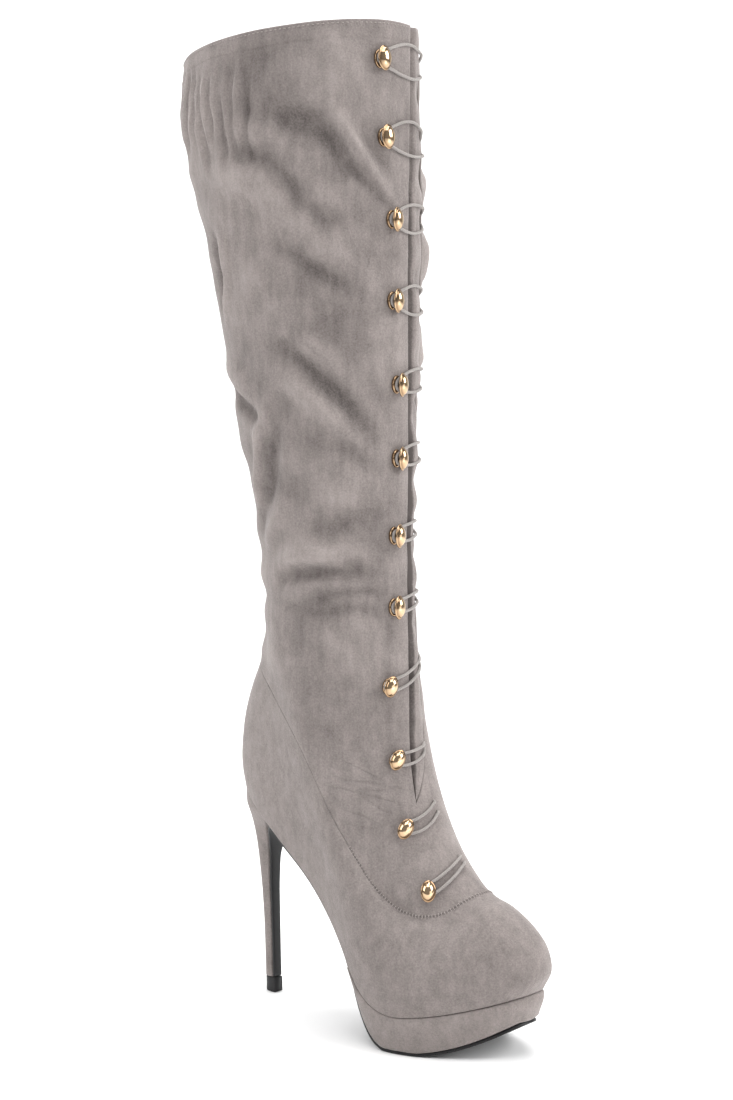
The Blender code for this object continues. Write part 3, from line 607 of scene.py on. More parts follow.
def crease_lines(nodes, link):
    """Lines where a flattened noise is near its middle value, as strong as the crease field says."""
    coordinates, mapping = nodes.new("ShaderNodeTexCoord"), nodes.new("ShaderNodeMapping")
    mapping.vector_type = "TEXTURE"
    mapping.inputs["Rotation"].default_value = (0.0, CREASE_SLOPE, 0.0)
    mapping.inputs["Scale"].default_value = (CREASE_STRETCH, CREASE_STRETCH, 1.0)
    link(coordinates.outputs["Object"], mapping.inputs["Vector"])
    noise = noise_node(nodes, link, mapping.outputs["Vector"], *CREASE_NOISE)
    apart = arithmetic(nodes, link, "ABSOLUTE", arithmetic(nodes, link, "SUBTRACT", noise, 0.5))
    line = arithmetic(nodes, link, "MULTIPLY_ADD", apart, -CREASE_SHARPNESS, 1.0)
    line = arithmetic(nodes, link, "MAXIMUM", line, 0.0)
    return arithmetic(nodes, link, "MULTIPLY", line, field_node(nodes, "crease"))


print("creases slant by", round(np.degrees(CREASE_SLOPE)), "degrees")

# %% [markdown]
# ## Suede
# Suede is leather with its fibres raised into a short nap. It has no gloss: light sinks in, and the fibre
# tips catch a soft sheen at the edge of the form. The nap lies this way and that, so the grey-brown
# wanders between a lighter and a darker tone in clouds, in patches, in downward brush strokes and in fine
# grain. Four noises of these sizes mix the two tones. The fold field adds painted shade in the hollows of
# the folds and painted light on their ridges.

# %% Suede material
SUEDE_DARK = (0.100, 0.0865, 0.082)
SUEDE_LIGHT = (0.330, 0.291, 0.276)
SUEDE_SHEEN_TINT = (0.95, 0.90, 0.88, 1.0)
# scale per metre, detail, roughness, weight in the tone
CLOUD, PATCH = (24.0, 2.0, 0.5, 0.36), (95.0, 4.0, 0.62, 0.55)
STROKES, GRAIN = (230.0, 4.0, 0.6, 0.62), (1050.0, 3.0, 0.7, 0.92)
STROKE_RELIEF, CREASE_SHADE, CREASE_RELIEF, NAP_DEPTH = 0.35, -0.15, -1.1, 0.00030


def suede_material(name, patches=1.0, folds=0.0, brushed=(1.0, 1.0, 0.22), middle=0.5):
    """Nap of four noises between two tones; folds weighs the painted shade and painted light of the fold
    field.
    """
    material, nodes, link, shader = new_material(name, 0.94)
    plain = stretched(nodes, link, (1.0, 1.0, 1.0))
    cloud = noise_node(nodes, link, plain, *CLOUD[:3])
    patch = noise_node(nodes, link, plain, *PATCH[:3])
    strokes = noise_node(nodes, link, stretched(nodes, link, brushed), *STROKES[:3])
    grain = noise_node(nodes, link, plain, *GRAIN[:3])
    tone = middle
    weights = (CLOUD[3] * patches, PATCH[3] * patches, STROKES[3], GRAIN[3])
    for noise, weight in zip((cloud, patch, strokes, grain), weights):
        centred = arithmetic(nodes, link, "SUBTRACT", noise, 0.5)
        tone = arithmetic(nodes, link, "MULTIPLY_ADD", centred, weight, tone)
    # Painted shade in the hollows and painted light on the ridges, read from the fold field
    if folds:
        tone = arithmetic(nodes, link, "MULTIPLY_ADD", field_node(nodes, "fold"), folds, tone)
    creases = crease_lines(nodes, link)
    # Painted shade darkens the suede along the fine creases
    tone = arithmetic(nodes, link, "MULTIPLY_ADD", creases, CREASE_SHADE, tone)
    link(two_tones(nodes, link, tone, SUEDE_DARK, SUEDE_LIGHT), shader.inputs["Base Color"])
    relief = arithmetic(nodes, link, "MULTIPLY_ADD", strokes, STROKE_RELIEF, grain)
    relief = arithmetic(nodes, link, "MULTIPLY_ADD", creases, CREASE_RELIEF, relief)
    bumped(nodes, link, shader, relief, NAP_DEPTH)
    shader.inputs["Specular IOR Level"].default_value = 0.15
    shader.inputs["Sheen Weight"].default_value = 0.36
    shader.inputs["Sheen Roughness"].default_value = 0.42
    shader.inputs["Sheen Tint"].default_value = SUEDE_SHEEN_TINT
    return material


leg_suede = suede_material("leg_suede", 1.0, 0.30)
foot_suede = suede_material("foot_suede", 0.7, 0.25, (1.0, 1.0, 0.5))
heel_suede = suede_material("heel_suede", 0.6, 0.0, (1.0, 1.0, 0.6))
# The platform's suede is a lighter copy of the same suede: painted light on the platform's side
platform_suede = suede_material("platform_suede", 0.6, 0.0, (1.0, 1.0, 0.6), 0.58)
print("suede:", leg_suede.name, foot_suede.name, heel_suede.name, platform_suede.name)

# %% [markdown]
# ## Foot part
# The vamp and the counter are lasted tight over the foot, so they have no folds: only the clean feather
# edge at the sole and a turned edge at the seam. The wall is 1.8 millimetres thick. Solidify could give
# it thickness, but an outer and an inner grid let the edges be rolled: near an edge both grids bend to
# the middle of the wall along a quarter circle, as folded suede does.

# %% Walls with rolled edges
WALL, SEAM_GAP, EDGE_ROUND, EDGE_TURN = 1.8, 0.08, 0.95, 0.95
RING_STEPS = 1441
EDGE_STEPS = np.array([0.0, 0.12, 0.35, 0.7, 1.2, 2.0])


def edge_roll(distance):
    """Drop of a rolled edge: quarter circle over the last millimetre before the edge."""
    t = EDGE_TURN * np.clip(1 - distance / EDGE_ROUND, 0, 1)
    return EDGE_ROUND * (1 - np.sqrt(1 - t * t))


def seam_lip(phi, side):
    """Level and angle of one lip, half the seam's gap off its middle line, and millimetres per level."""
    along, up = tangents(np.full(phi.shape, SEAM_LEVEL), phi)
    per_phi = np.linalg.norm(along, axis=-1)
    skew = (up * along).sum(-1) / per_phi
    across = up - (skew / per_phi)[..., None] * along
    step = side * SEAM_GAP / 2 / np.linalg.norm(across, axis=-1)
    return SEAM_LEVEL + step, phi - step * skew / per_phi, np.linalg.norm(across, axis=-1)


def even_ring(level, count):
    """Angles round a ring, one arc length apart, starting and ending at the front."""
    phi = np.linspace(-np.pi, np.pi, RING_STEPS)
    run = run_along(surface(level, phi))
    return np.interp(np.linspace(0, run[-1], count), run, phi)


def suede_wall(level, phi, roll, lift=0.0, depth=0.0, wall=WALL):
    """Outer and inner grids of a wall: the surface moved along its normal by lift, with rolled edges."""
    base, normal = surface(level, phi), normal_of(level, phi)
    outer = base + (lift - depth - roll)[..., None] * normal
    inner = base + (lift - depth - wall + roll)[..., None] * normal
    return outer, inner


def edged_rows(length, count):
    """Distances from 0 to a length, close together near both ends."""
    middle = np.linspace(EDGE_STEPS[-1], length - EDGE_STEPS[-1], count)[1:-1]
    return np.concatenate([EDGE_STEPS, middle, length - EDGE_STEPS[::-1]])


print("rolled edge drops", round(float(edge_roll(np.array(0.0))), 2), "mm")

# %% [markdown]
# The inside of the boot has a plain woven lining, which shows at the collar. Two crossed wave textures
# give the threads, and a noise keeps the cloth from being one flat tone.

# %% Lining cloth
LINING_DARK, LINING_LIGHT = (0.16, 0.14, 0.13), (0.33, 0.30, 0.28)
LINING_THREADS, LINING_DEPTH = 380.0, 0.00015


def lining_material():
    """Soft woven lining: two crossed fine waves tint and roughen a grey-brown cloth."""
    material, nodes, link, shader = new_material("lining_cloth", 0.85)
    place = stretched(nodes, link, (1.0, 1.0, 1.0))
    waves = []
    for axis in ("X", "Z"):
        wave = nodes.new("ShaderNodeTexWave")
        wave.bands_direction = axis
        wave.inputs["Scale"].default_value = LINING_THREADS
        wave.inputs["Distortion"].default_value = 0.6
        link(place, wave.inputs["Vector"])
        waves.append(wave.outputs["Fac"])
    weave = arithmetic(nodes, link, "MULTIPLY", *waves)
    cloud = noise_node(nodes, link, place, 40.0)
    half_weave = arithmetic(nodes, link, "MULTIPLY", weave, 0.5)
    tone = arithmetic(nodes, link, "MULTIPLY_ADD", cloud, 0.5, half_weave)
    link(two_tones(nodes, link, tone, LINING_DARK, LINING_LIGHT), shader.inputs["Base Color"])
    bumped(nodes, link, shader, weave, LINING_DEPTH)
    shader.inputs["Sheen Weight"].default_value = 0.1
    return material


lining = lining_material()
print("lining:", lining.name)

# %% [markdown]
# The foot part's rows run from the feather edge to the seam. Its columns start and end at the front, an
# even arc length apart, and bend to the seam's lip only near the top. The outer faces are suede, all
# others lining.

# %% Foot part
FOOT_COLUMNS, FOOT_ROWS, FOOT_DEPTH, FOOT_MIDDLE_LEVEL = 231, 64, 66.0, 2.5
SEAM_ROLL, FEATHER_ROLL, LIP_POWER = 0.38, 0.32, 4
ring_phi = even_ring(FOOT_MIDDLE_LEVEL, FOOT_COLUMNS)
lip_level, lip_phi = seam_lip(ring_phi, -1)[:2]
row_mm = edged_rows(FOOT_DEPTH, FOOT_ROWS)
row_share = (row_mm / FOOT_DEPTH)[:, None]
foot_level = row_share * lip_level
foot_phi = ring_phi + row_share ** LIP_POWER * (lip_phi - ring_phi)
foot_roll = FEATHER_ROLL * edge_roll(row_mm) + SEAM_ROLL * edge_roll(FOOT_DEPTH - row_mm)
foot_roll = foot_roll[:, None] + 0 * foot_level
outer, inner = suede_wall(foot_level, foot_phi, foot_roll)
outside, rest = wall_faces(*foot_level.shape, np.ones(len(row_mm), bool))
lining_rows = np.concatenate([np.zeros(len(outside)), np.ones(len(rest))])
foot, used = add_piece("foot_part", np.stack([outer, inner]), np.concatenate([outside, rest]),
                       [foot_suede, lining], ["upper"], lining_rows)
set_field(foot, "fold", np.zeros(len(used)))
print("foot part:", len(foot.data.polygons), "faces")

# %% [markdown]
# ## Leg
# The leg is one wrap of suede, sewn to the foot part at the slanting seam, closed by a seam down the back
# and slit at the front. The fold field lifts it along the normal. Its edges are turned and stitched and
# so are stiffer: the folds fade towards the slit, the collar and the foot seam.

# %% Calm places of the leg
EDGE_CALM, EDGE_STIFFNESS, SEAM_CALM = 5.0, 0.75, 0.85
COLLAR_MM_PER_LEVEL, OPEN_STEPS = 48.0, 240
OPEN_LEVELS = np.linspace(SLIT_END_LEVEL, COLLAR_LEVEL, OPEN_STEPS)
OPEN_PHI = opening_phi(OPEN_LEVELS)


def leg_lift(level, phi):
    """Fold height at places on the leg, calmed towards the slit, the collar and the foot seam."""
    per_phi = np.linalg.norm(tangents(level, phi)[0], axis=-1)
    turns = [phi - np.interp(level, OPEN_LEVELS, edge) for edge in OPEN_PHI]
    to_slit = np.min([np.abs((turn + np.pi) % (2 * np.pi) - np.pi) for turn in turns], 0) * per_phi
    to_slit = np.where(level > SLIT_END_LEVEL, to_slit, np.inf)
    to_collar = (COLLAR_LEVEL - level) * COLLAR_MM_PER_LEVEL
    stiff = EDGE_STIFFNESS * np.exp(-(np.minimum(to_slit, to_collar) / EDGE_CALM) ** 2)
    return fold_height(surface(level, phi)) * (1 - stiff) * np.clip((level - SEAM_LEVEL) / SEAM_CALM, 0, 1)


print("slit from level", SLIT_END_LEVEL, "to", COLLAR_LEVEL)

# %% [markdown]
# Rows and columns crowd together at edges and seams, where the form turns quickly, and are about two
# millimetres apart elsewhere. A subdivided mesh would spend as many points on the calm places. The rows
# are even in length up the leg, measured on four sides of it, with the close ones put in at seam, hem and
# collar.

# %% Rows of the leg
LEG_ROWS, ROW_APART, SEAM_MM_PER_LEVEL, HEM_LEVEL_DROP = 236, 1.0, 12.0, 0.17
CLIMB_TURNS = np.radians([0.0, 90.0, 150.0, -90.0])
SEAM_STEPS = np.array([-1.6, -0.8, -0.35, 0.0, 0.35, 0.8, 1.6])

fine_level = np.linspace(SEAM_LEVEL, COLLAR_LEVEL, LEVEL_STEPS)
sides = surface(fine_level[:, None], CLIMB_TURNS)
climb = np.linalg.norm(np.diff(sides, axis=0), axis=-1).mean(1)
climb = np.concatenate([[0], np.cumsum(climb)])
even_level = np.interp(np.linspace(0, climb[-1], LEG_ROWS), climb, fine_level)
hem_level = COLLAR_LEVEL - HEM_LEVEL_DROP
special = np.concatenate([
    SEAM_LEVEL + EDGE_STEPS / SEAM_MM_PER_LEVEL,
    COLLAR_LEVEL - EDGE_STEPS / COLLAR_MM_PER_LEVEL,
    hem_level + SEAM_STEPS / COLLAR_MM_PER_LEVEL,
])
apart = np.abs(even_level[:, None] - special).min(1) > ROW_APART / COLLAR_MM_PER_LEVEL
row_level = np.sort(np.concatenate([even_level[apart], special]))
print("rows of the leg:", len(row_level))

# %% [markdown]
# The columns run from the inner edge of the slit round the back to its outer edge. Below the slit both
# edges meet at the front, so the wall closes there. The lowest rows bend to the lip of the foot seam.

# %% Columns of the leg
INNER_COLUMNS, OUTER_COLUMNS, LIP_LEVELS = 58, 88, 0.3


def between(low, high, count):
    """Columns spread evenly between two angles of each row, without the two ends."""
    return low + (high - low) * np.linspace(0, 1, count + 2)[1:-1]


opening = opening_phi(np.maximum(row_level, SLIT_END_LEVEL))
is_slit = np.interp(row_level, [SEAM_LEVEL, SLIT_END_LEVEL], [0.0, 1.0])
outer_edge = np.pi + (opening[0] - np.pi) * is_slit
inner_edge = np.pi + (opening[1] - np.pi) * is_slit - 2 * np.pi
per_phi = [np.linalg.norm(tangents(row_level, p)[0], axis=-1)[:, None]
           for p in (inner_edge, np.zeros(len(row_level)), outer_edge)]
left, right = inner_edge[:, None], outer_edge[:, None]
leg_phi = np.concatenate([
    left + EDGE_STEPS / per_phi[0],
    between(left + EDGE_STEPS[-1] / per_phi[0], -SEAM_STEPS[-1] / per_phi[1], INNER_COLUMNS),
    SEAM_STEPS / per_phi[1],
    between(SEAM_STEPS[-1] / per_phi[1], right - EDGE_STEPS[-1] / per_phi[2], OUTER_COLUMNS),
    right - EDGE_STEPS[::-1] / per_phi[2],
], 1)
leg_level = np.repeat(row_level[:, None], leg_phi.shape[1], 1)
lip_level, lip_phi, across = seam_lip(leg_phi[0], 1)
near_seam = np.clip(1 - (leg_level - SEAM_LEVEL) / LIP_LEVELS, 0, 1)
leg_level = leg_level + (lip_level - SEAM_LEVEL) * near_seam
leg_phi = leg_phi + (lip_phi - leg_phi[0]) * near_seam ** LIP_POWER
print("leg grid:", leg_level.shape)

# %% [markdown]
# Thread pulls the wall in at the hem below the collar and down the back seam, as shallow grooves. The
# height of the folds also goes on the points as a field of painted shade, darker in the hollows and the
# grooves and lighter on the ridges, and a second field says where the fine creases show.

# %% Folded wall of the leg
HEM_DEPTH, BACK_SEAM_DEPTH, SEAM_WIDTH, FAR = 0.22, 0.45, 0.5, 1e3
FULL_SHADE, GROOVE_SHADE = 3.0, 0.8
CREASE_MIDDLE, CREASE_REACH = np.array([116.0, -27.0, 141.0]), np.array([22.0, 22.0, 21.0])

to_inner = (leg_phi - left) * per_phi[0]
to_outer = (right - leg_phi) * per_phi[2]
to_slit = np.where(leg_level > SLIT_END_LEVEL, np.minimum(to_inner, to_outer), FAR)
to_collar = (COLLAR_LEVEL - leg_level) * COLLAR_MM_PER_LEVEL
to_seam = (leg_level - lip_level) * across
to_hem = (leg_level - hem_level) * COLLAR_MM_PER_LEVEL
to_back = leg_phi * per_phi[1]

fold = leg_lift(leg_level, leg_phi)
groove = HEM_DEPTH * np.exp(-(to_hem / SEAM_WIDTH) ** 2)
groove = np.maximum(groove, BACK_SEAM_DEPTH * np.exp(-(to_back / SEAM_WIDTH) ** 2))
roll = np.maximum(edge_roll(np.minimum(to_slit, to_collar)), SEAM_ROLL * edge_roll(to_seam))
outer, inner = suede_wall(leg_level, leg_phi, roll, fold - groove)
outside, rest = wall_faces(*leg_level.shape, row_level <= SLIT_END_LEVEL)
lining_rows = np.concatenate([np.zeros(len(outside)), np.ones(len(rest))])
leg, used = add_piece("leg", np.stack([outer, inner]), np.concatenate([outside, rest]),
                      [leg_suede, lining], ["shaft"], lining_rows)
# Painted shade in the hollows and along the hem and back seam grooves, painted light on the ridges
shade = np.clip(fold / FULL_SHADE, -1, 1) - GROOVE_SHADE * groove
set_field(leg, "fold", np.stack([shade, shade]).ravel()[used])
crease = np.exp(-(((outer - CREASE_MIDDLE) / CREASE_REACH) ** 2).sum(-1) ** 2)
set_field(leg, "crease", np.stack([crease, crease]).ravel()[used])
print("leg:", len(leg.data.polygons), "faces")
print("folds from", round(fold.min(), 1), "to", round(fold.max(), 1), "mm")

# %% [markdown]
# ## Tongue strip
# Behind the slit a soft strip of the same suede joins both flaps, so the leg stays closed when it is
# worn. It lies just under the flaps and laps under both. Its grid takes its edges from the slit, so strip
# and flaps can't drift apart.

# %% Grid of the tongue strip
GUSSET_LAP, GUSSET_TAIL, GUSSET_TOP_DROP, GUSSET_ROWS = 9.0, 0.35, 0.01, 220
GAP_LEAST, LAP_STEPS = 0.4, np.linspace(0.06, 1.0, 6)
# Shares of the gap, closest together beside the two flaps
GAP_STEPS = np.concatenate([
    np.linspace(0, 0.4, 16), np.linspace(0.4, 0.88, 12)[1:], np.linspace(0.88, 1, 8)[1:],
])

strip_rows = np.linspace(SLIT_END_LEVEL - GUSSET_TAIL, COLLAR_LEVEL - GUSSET_TOP_DROP, GUSSET_ROWS)
strip_edges = opening_phi(np.maximum(strip_rows, SLIT_END_LEVEL))
strip_mm = np.linalg.norm(tangents(strip_rows, strip_edges[0])[0], axis=-1)[:, None]
gap_mm = np.maximum((strip_edges[1] - strip_edges[0])[:, None] * strip_mm, GAP_LEAST)
lapped = GUSSET_LAP * LAP_STEPS
from_flap = np.concatenate([0 * gap_mm - lapped[::-1], gap_mm * GAP_STEPS, gap_mm + lapped], 1)
strip_phi = strip_edges[0][:, None] + from_flap / strip_mm
strip_level = strip_rows[:, None] + 0 * strip_phi
print("tongue strip grid:", strip_level.shape, "gap up to", gap_mm.max().round(1), "mm")

# %% [markdown]
# Beside the outer flap the strip lies deep, and from there it swells out like a soft tube. Higher up it
# falls away towards the inner flap, low down it fills the gap. The same fold field lifts it as the leg,
# so it never pokes through the flaps that cover its sides.

# %% Tongue strip
GUSSET_DEPTH, GUSSET_WALL, GUSSET_BULGE, FULL_BULGE_GAP = 2.4, 1.2, 3.4, 6.0
TRENCH_START, TRENCH_END = 0.04, 0.26
FALL_START, FALL_POWER = 0.5, 0.6
FILL_LEVELS, FILL_LOW, FILL_GAIN, EDGE_DROP = (9.0, 10.5), 0.7, 0.3, 0.2
RIPPLE_SIZES, RIPPLE_RATES, RIPPLE_START = (0.07, 0.05), (9.0, 17.0), 1.0

share = np.clip(from_flap / gap_mm, 0, 1)
step = np.clip((share - TRENCH_START) / (TRENCH_END - TRENCH_START), 0, 1)
rise = step ** 2 * (3 - 2 * step)
past = np.clip((1 - share) / FALL_START, 0, 1)
filled = np.interp(strip_level, FILL_LEVELS, [1.0, 0.0])
wide_fall = (1 - filled) * past ** FALL_POWER
tight_fall = filled * (FILL_LOW + FILL_GAIN * past) * np.clip((gap_mm - from_flap) / EDGE_DROP, 0, 1)
ripple = 1 + RIPPLE_SIZES[0] * np.sin(strip_level * RIPPLE_RATES[0])
ripple = ripple + RIPPLE_SIZES[1] * np.sin(strip_level * RIPPLE_RATES[1] + RIPPLE_START)
fullness = np.clip(gap_mm / FULL_BULGE_GAP, 0, 1) ** 0.5
bulge = GUSSET_BULGE * rise * (wide_fall + tight_fall) * fullness * ripple
strip_fold = leg_lift(strip_level, strip_phi)
flat = np.zeros(strip_level.shape)
outer, inner = suede_wall(strip_level, strip_phi, flat, strip_fold + bulge, GUSSET_DEPTH, GUSSET_WALL)
outside, rest = wall_faces(*strip_level.shape, np.zeros(len(strip_level), bool))
strip, used = add_piece("tongue_strip", np.stack([outer, inner]), np.concatenate([outside, rest]),
                        [leg_suede], ["gusset"])
print("tongue strip:", len(strip.data.polygons), "faces")

# %% [markdown]
# In the narrow trench beside the outer flap hardly any light gets in. The fold field of the strip is
# lowered there, which paints shade into the suede, most of all on the middle of the leg.

# %% Shade of the trench
TRENCH_MM, TRENCH_FULL_GAP, TRENCH_SOFTNESS = 4.3, 16.0, 0.9
TRENCH_LEVELS, TRENCH_SHADES = [7.2, 8.5, 10.0, 13.8, 14.8], [0.4, 1.0, 1.9, 1.9, 0.3]

trench_mm = TRENCH_MM * np.clip(gap_mm / TRENCH_FULL_GAP, 0, 1)
trench = np.clip((trench_mm - from_flap) / TRENCH_SOFTNESS, 0, 1)
darkness = np.interp(strip_level, TRENCH_LEVELS, TRENCH_SHADES)
# Painted shade in the trench beside the outer flap, on top of the painted fold shade
shade = np.clip(strip_fold / FULL_SHADE, -1, 1) - darkness * trench
set_field(strip, "fold", np.stack([shade, shade]).ravel()[used])
print("trench up to", trench_mm.max().round(1), "mm wide")

# %% [markdown]
# ## Slabs along the foot
# Insole and sole are slabs: a path from heel to toe seen from the side, an outline seen from above, and a
# flat section with rounded edges. A bevel on a flat mesh could round them, but rings along the path
# follow the arch as well.

# %% Slabs along a path
FIT_GAP, LEAST_HALF_WIDTH = 0.3, 0.02


def outline(phi, front_x, inset):
    """Plan of the feather edge drawn in by an inset, with the toe brought to a given x: x, low y, high y."""
    share = (1 - np.cos(phi)) / 2
    half = (smooth(STATIONS, STATION_BASIS, share) * RINGS[0, 4:8]).sum(-1) - inset
    width = half * np.abs(np.sin(phi)) ** FOOT_ROUNDNESS
    x = RINGS[0, 0] + (front_x - RINGS[0, 0]) * share
    return x, inflare(share) - width, inflare(share) + width


def path_offset(path, distance):
    """Side-view path moved off itself, to its right-hand side, by a distance."""
    direction = unit(np.gradient(path, axis=0))
    return path + np.asarray(distance)[..., None] * np.stack([direction[:, 1], -direction[:, 0]], -1)


def flat_section(thickness, roundness, steps=4):
    """Half of a flat rounded section, from the underside to the top: depth, and how far the edge draws in."""
    turn = np.linspace(0, np.pi / 2, steps)
    draw = roundness * (1 - np.sin(turn))
    low = roundness * (1 - np.cos(turn))
    return np.concatenate([low, thickness - low[::-1]]), np.concatenate([draw, draw[::-1]])


def slab(path, low, high, thickness, roundness):
    """Rings of a slab along a side-view path: up its high edge and down its low edge."""
    depth, draw = flat_section(thickness, roundness)
    levels = [path_offset(path, np.full(len(path), d)) for d in depth]
    narrow = np.minimum(draw[:, None], (high - low) / 2 - LEAST_HALF_WIDTH)
    up = [np.stack([xz[:, 0], high - n, xz[:, 1]], -1) for xz, n in zip(levels, narrow)]
    down = [np.stack([xz[:, 0], low + n, xz[:, 1]], -1) for xz, n in zip(levels, narrow)]
    return np.stack(up + down[::-1], 1)


print("gap between fitted pieces:", FIT_GAP, "mm")

# %% [markdown]
# ## Insole
# Inside the boot a thin insole lies on the feather edge, covered with the same cloth as the inside. Only
# its rear shows through the collar from above.

# %% Insole
INSOLE_THICKNESS, INSOLE_INSET, INSOLE_ROUND = 2.2, 2.6, 0.7
INSOLE_TURNS = np.radians(np.linspace(174.0, 6.0, 90))

x, low, high = outline(INSOLE_TURNS, RINGS[0, 2] - INSOLE_INSET, INSOLE_INSET)
x = x + INSOLE_INSET * (1 + np.cos(INSOLE_TURNS)) / 2
bed = np.stack([x, smooth(FEATHER[:, 0], FEATHER[:, 1], x) + FIT_GAP], -1)
rings = slab(bed, low, high, INSOLE_THICKNESS, INSOLE_ROUND)
faces = ring_faces(*rings.shape[:2])[:, ::-1]
insole = add_piece("insole_pad", rings, faces, [lining], ["insole"])[0]
print("insole:", len(insole.data.polygons), "faces")

# %% [markdown]
# ## Outsole
# Moulded rubber is nearly black, with a low gloss that scuffs break up. A large noise varies tone and
# roughness together, and a fine one gives a faint grain.

# %% Rubber
RUBBER_DARK, RUBBER_LIGHT = (0.009, 0.009, 0.010), (0.022, 0.021, 0.022)
RUBBER_GRAIN = 0.00008


def rubber_material():
    """Black moulded rubber: a low gloss broken by fine scuffs and a faint grain."""
    material, nodes, link, shader = new_material("black_rubber", 0.42)
    place = stretched(nodes, link, (1.0, 1.0, 1.0))
    cloud = noise_node(nodes, link, place, 90.0, 4.0)
    grain = noise_node(nodes, link, place, 900.0)
    link(two_tones(nodes, link, cloud, RUBBER_DARK, RUBBER_LIGHT), shader.inputs["Base Color"])
    link(arithmetic(nodes, link, "MULTIPLY_ADD", cloud, 0.25, 0.3), shader.inputs["Roughness"])
    bumped(nodes, link, shader, grain, RUBBER_GRAIN)
    shader.inputs["Specular IOR Level"].default_value = 0.25
    return material


rubber = rubber_material()
print("rubber:", rubber.name)

# %% [markdown]
# One thin sole runs under the platform, up the arch and down the front of the heel, where it shows as a
# dark line. It is a slab along a side-view path. Its underside touches the floor under the ball of the
# foot and rises at the toe.

# %% Outsole
# Underside from the toe to the arch: x, z
TREAD = np.array([
    (202.5, 19.2), (196.0, 15.2), (186.0, 9.8), (172.0, 4.0), (155.0, 0.0),
    (135.0, 0.0), (126.0, 4.5), (118.0, 13.5), (111.0, 25.0), (105.0, 37.0),
])
# Round the heel breast and down it: x, z, half width
BREAST = np.array([
    (35.0, 102.8, 17.0), (30.0, 102.6, 14.5), (25.8, 99.2, 11.0), (23.0, 94.0, 7.4), (21.2, 86.0, 4.8),
    (20.2, 70.0, 3.6), (20.4, 51.0, 3.2), (20.8, 34.0, 3.0), (21.3, 9.6, 2.9),
])
ARCH_FRONT_X, ARCH_BACK_X, ARCH_POINTS, REAR_POINTS = 98.0, 45.0, 7, 120
SOLE_THICKNESS, SOLE_WAIST_INSET, SOLE_EDGE_INSET, SOLE_ROUND = 1.8, 1.5, 4.0, 0.55
# Angles along the edge, closest together round the toe
SOLE_TURNS = np.concatenate([
    np.pi - np.linspace(0.012, 0.30, 14), np.linspace(np.pi - 0.33, np.radians(94.0), 60),
])


def sole_path():
    """Underside of the sole from the toe to the foot of the heel breast: x, z, low y, high y."""
    x, low, high = outline(SOLE_TURNS, TREAD[0, 0], SOLE_EDGE_INSET)
    z = np.maximum(smooth(TREAD[::-1, 0], TREAD[::-1, 1], x), 0.0)
    tread = np.stack([x, z, low, high], -1)[x > TREAD[-1, 0]]
    arch_x = np.linspace(ARCH_FRONT_X, ARCH_BACK_X, ARCH_POINTS)
    feather = np.stack([arch_x, smooth(FEATHER[:, 0], FEATHER[:, 1], arch_x)], -1)
    under = path_offset(feather, np.full(ARCH_POINTS, -(FIT_GAP + SOLE_THICKNESS)))
    share = (under[:, 0] - RINGS[0, 0]) / (RINGS[0, 2] - RINGS[0, 0])
    x, low, high = outline(np.arccos(1 - 2 * share), RINGS[0, 2], SOLE_WAIST_INSET)
    arch = np.stack([x, under[:, 1], low, high], -1)
    breast = np.stack([BREAST[:, 0], BREAST[:, 1], -BREAST[:, 2], BREAST[:, 2]], -1)
    rear = np.concatenate([tread[-2:], arch, breast])
    run = run_along(rear[:, :2])
    fine = smooth(run, rear, np.linspace(run[1], run[-1], REAR_POINTS))
    return np.concatenate([tread[:-1], fine])


sole = sole_path()
rings = slab(sole[:, :2], sole[:, 2], sole[:, 3], SOLE_THICKNESS, SOLE_ROUND)
rings[..., 2] = np.maximum(rings[..., 2], 0.0)
faces = ring_faces(*rings.shape[:2])[:, ::-1]
outsole = add_piece("black_outsole", rings, faces, [rubber], ["outsole"])[0]
print("outsole:", len(outsole.data.polygons), "faces, lowest", rings[..., 2].min(), "mm")

# %% [markdown]
# ## Platform
# The platform is a block under the ball of the foot, covered in the same suede with painted light, a
# little fuller in the middle of its side. Its cover is turned in at the top against the foot part, which
# leaves a fine dark line there. Each section across the foot is one side profile and its mirror image.

# %% Platform
PLATFORM_FOOT_INSET, PLATFORM_FOOT_BACKSET, PLATFORM_BULGE = 3.2, -1.0, 0.9
PLATFORM_REAR_X, PLATFORM_THINNEST, PLATFORM_STEPS, SIDE_ROOM = 106.0, 1.0, 22, 0.03
TURN_IN, TURN_HEIGHT, TURN_POWER = 0.55, 1.0, 2.5
TOE_BULGE_START, TOE_BULGE_RUN = 185, 20
PLATFORM_TURNS = np.concatenate([
    np.pi - np.linspace(0.010, 0.20, 12), np.linspace(np.pi - 0.22, np.radians(91.0), 110),
])

x, low, high = outline(PLATFORM_TURNS, RINGS[0, 2], 0.0)
front_foot = TREAD[0, 0] - PLATFORM_FOOT_BACKSET
x_foot, low_foot, high_foot = outline(PLATFORM_TURNS, front_foot, PLATFORM_FOOT_INSET)
sole_top = path_offset(sole[:, :2], np.full(len(sole), SOLE_THICKNESS))
order = np.argsort(sole_top[:, 0])
ground = np.interp(x_foot, sole_top[order, 0], sole_top[order, 1]) + FIT_GAP
lid = smooth(FEATHER[:, 0], FEATHER[:, 1], x) - FIT_GAP
ground = np.minimum(ground, lid - PLATFORM_THINNEST)
rise = np.linspace(0, 1, PLATFORM_STEPS)[:, None]
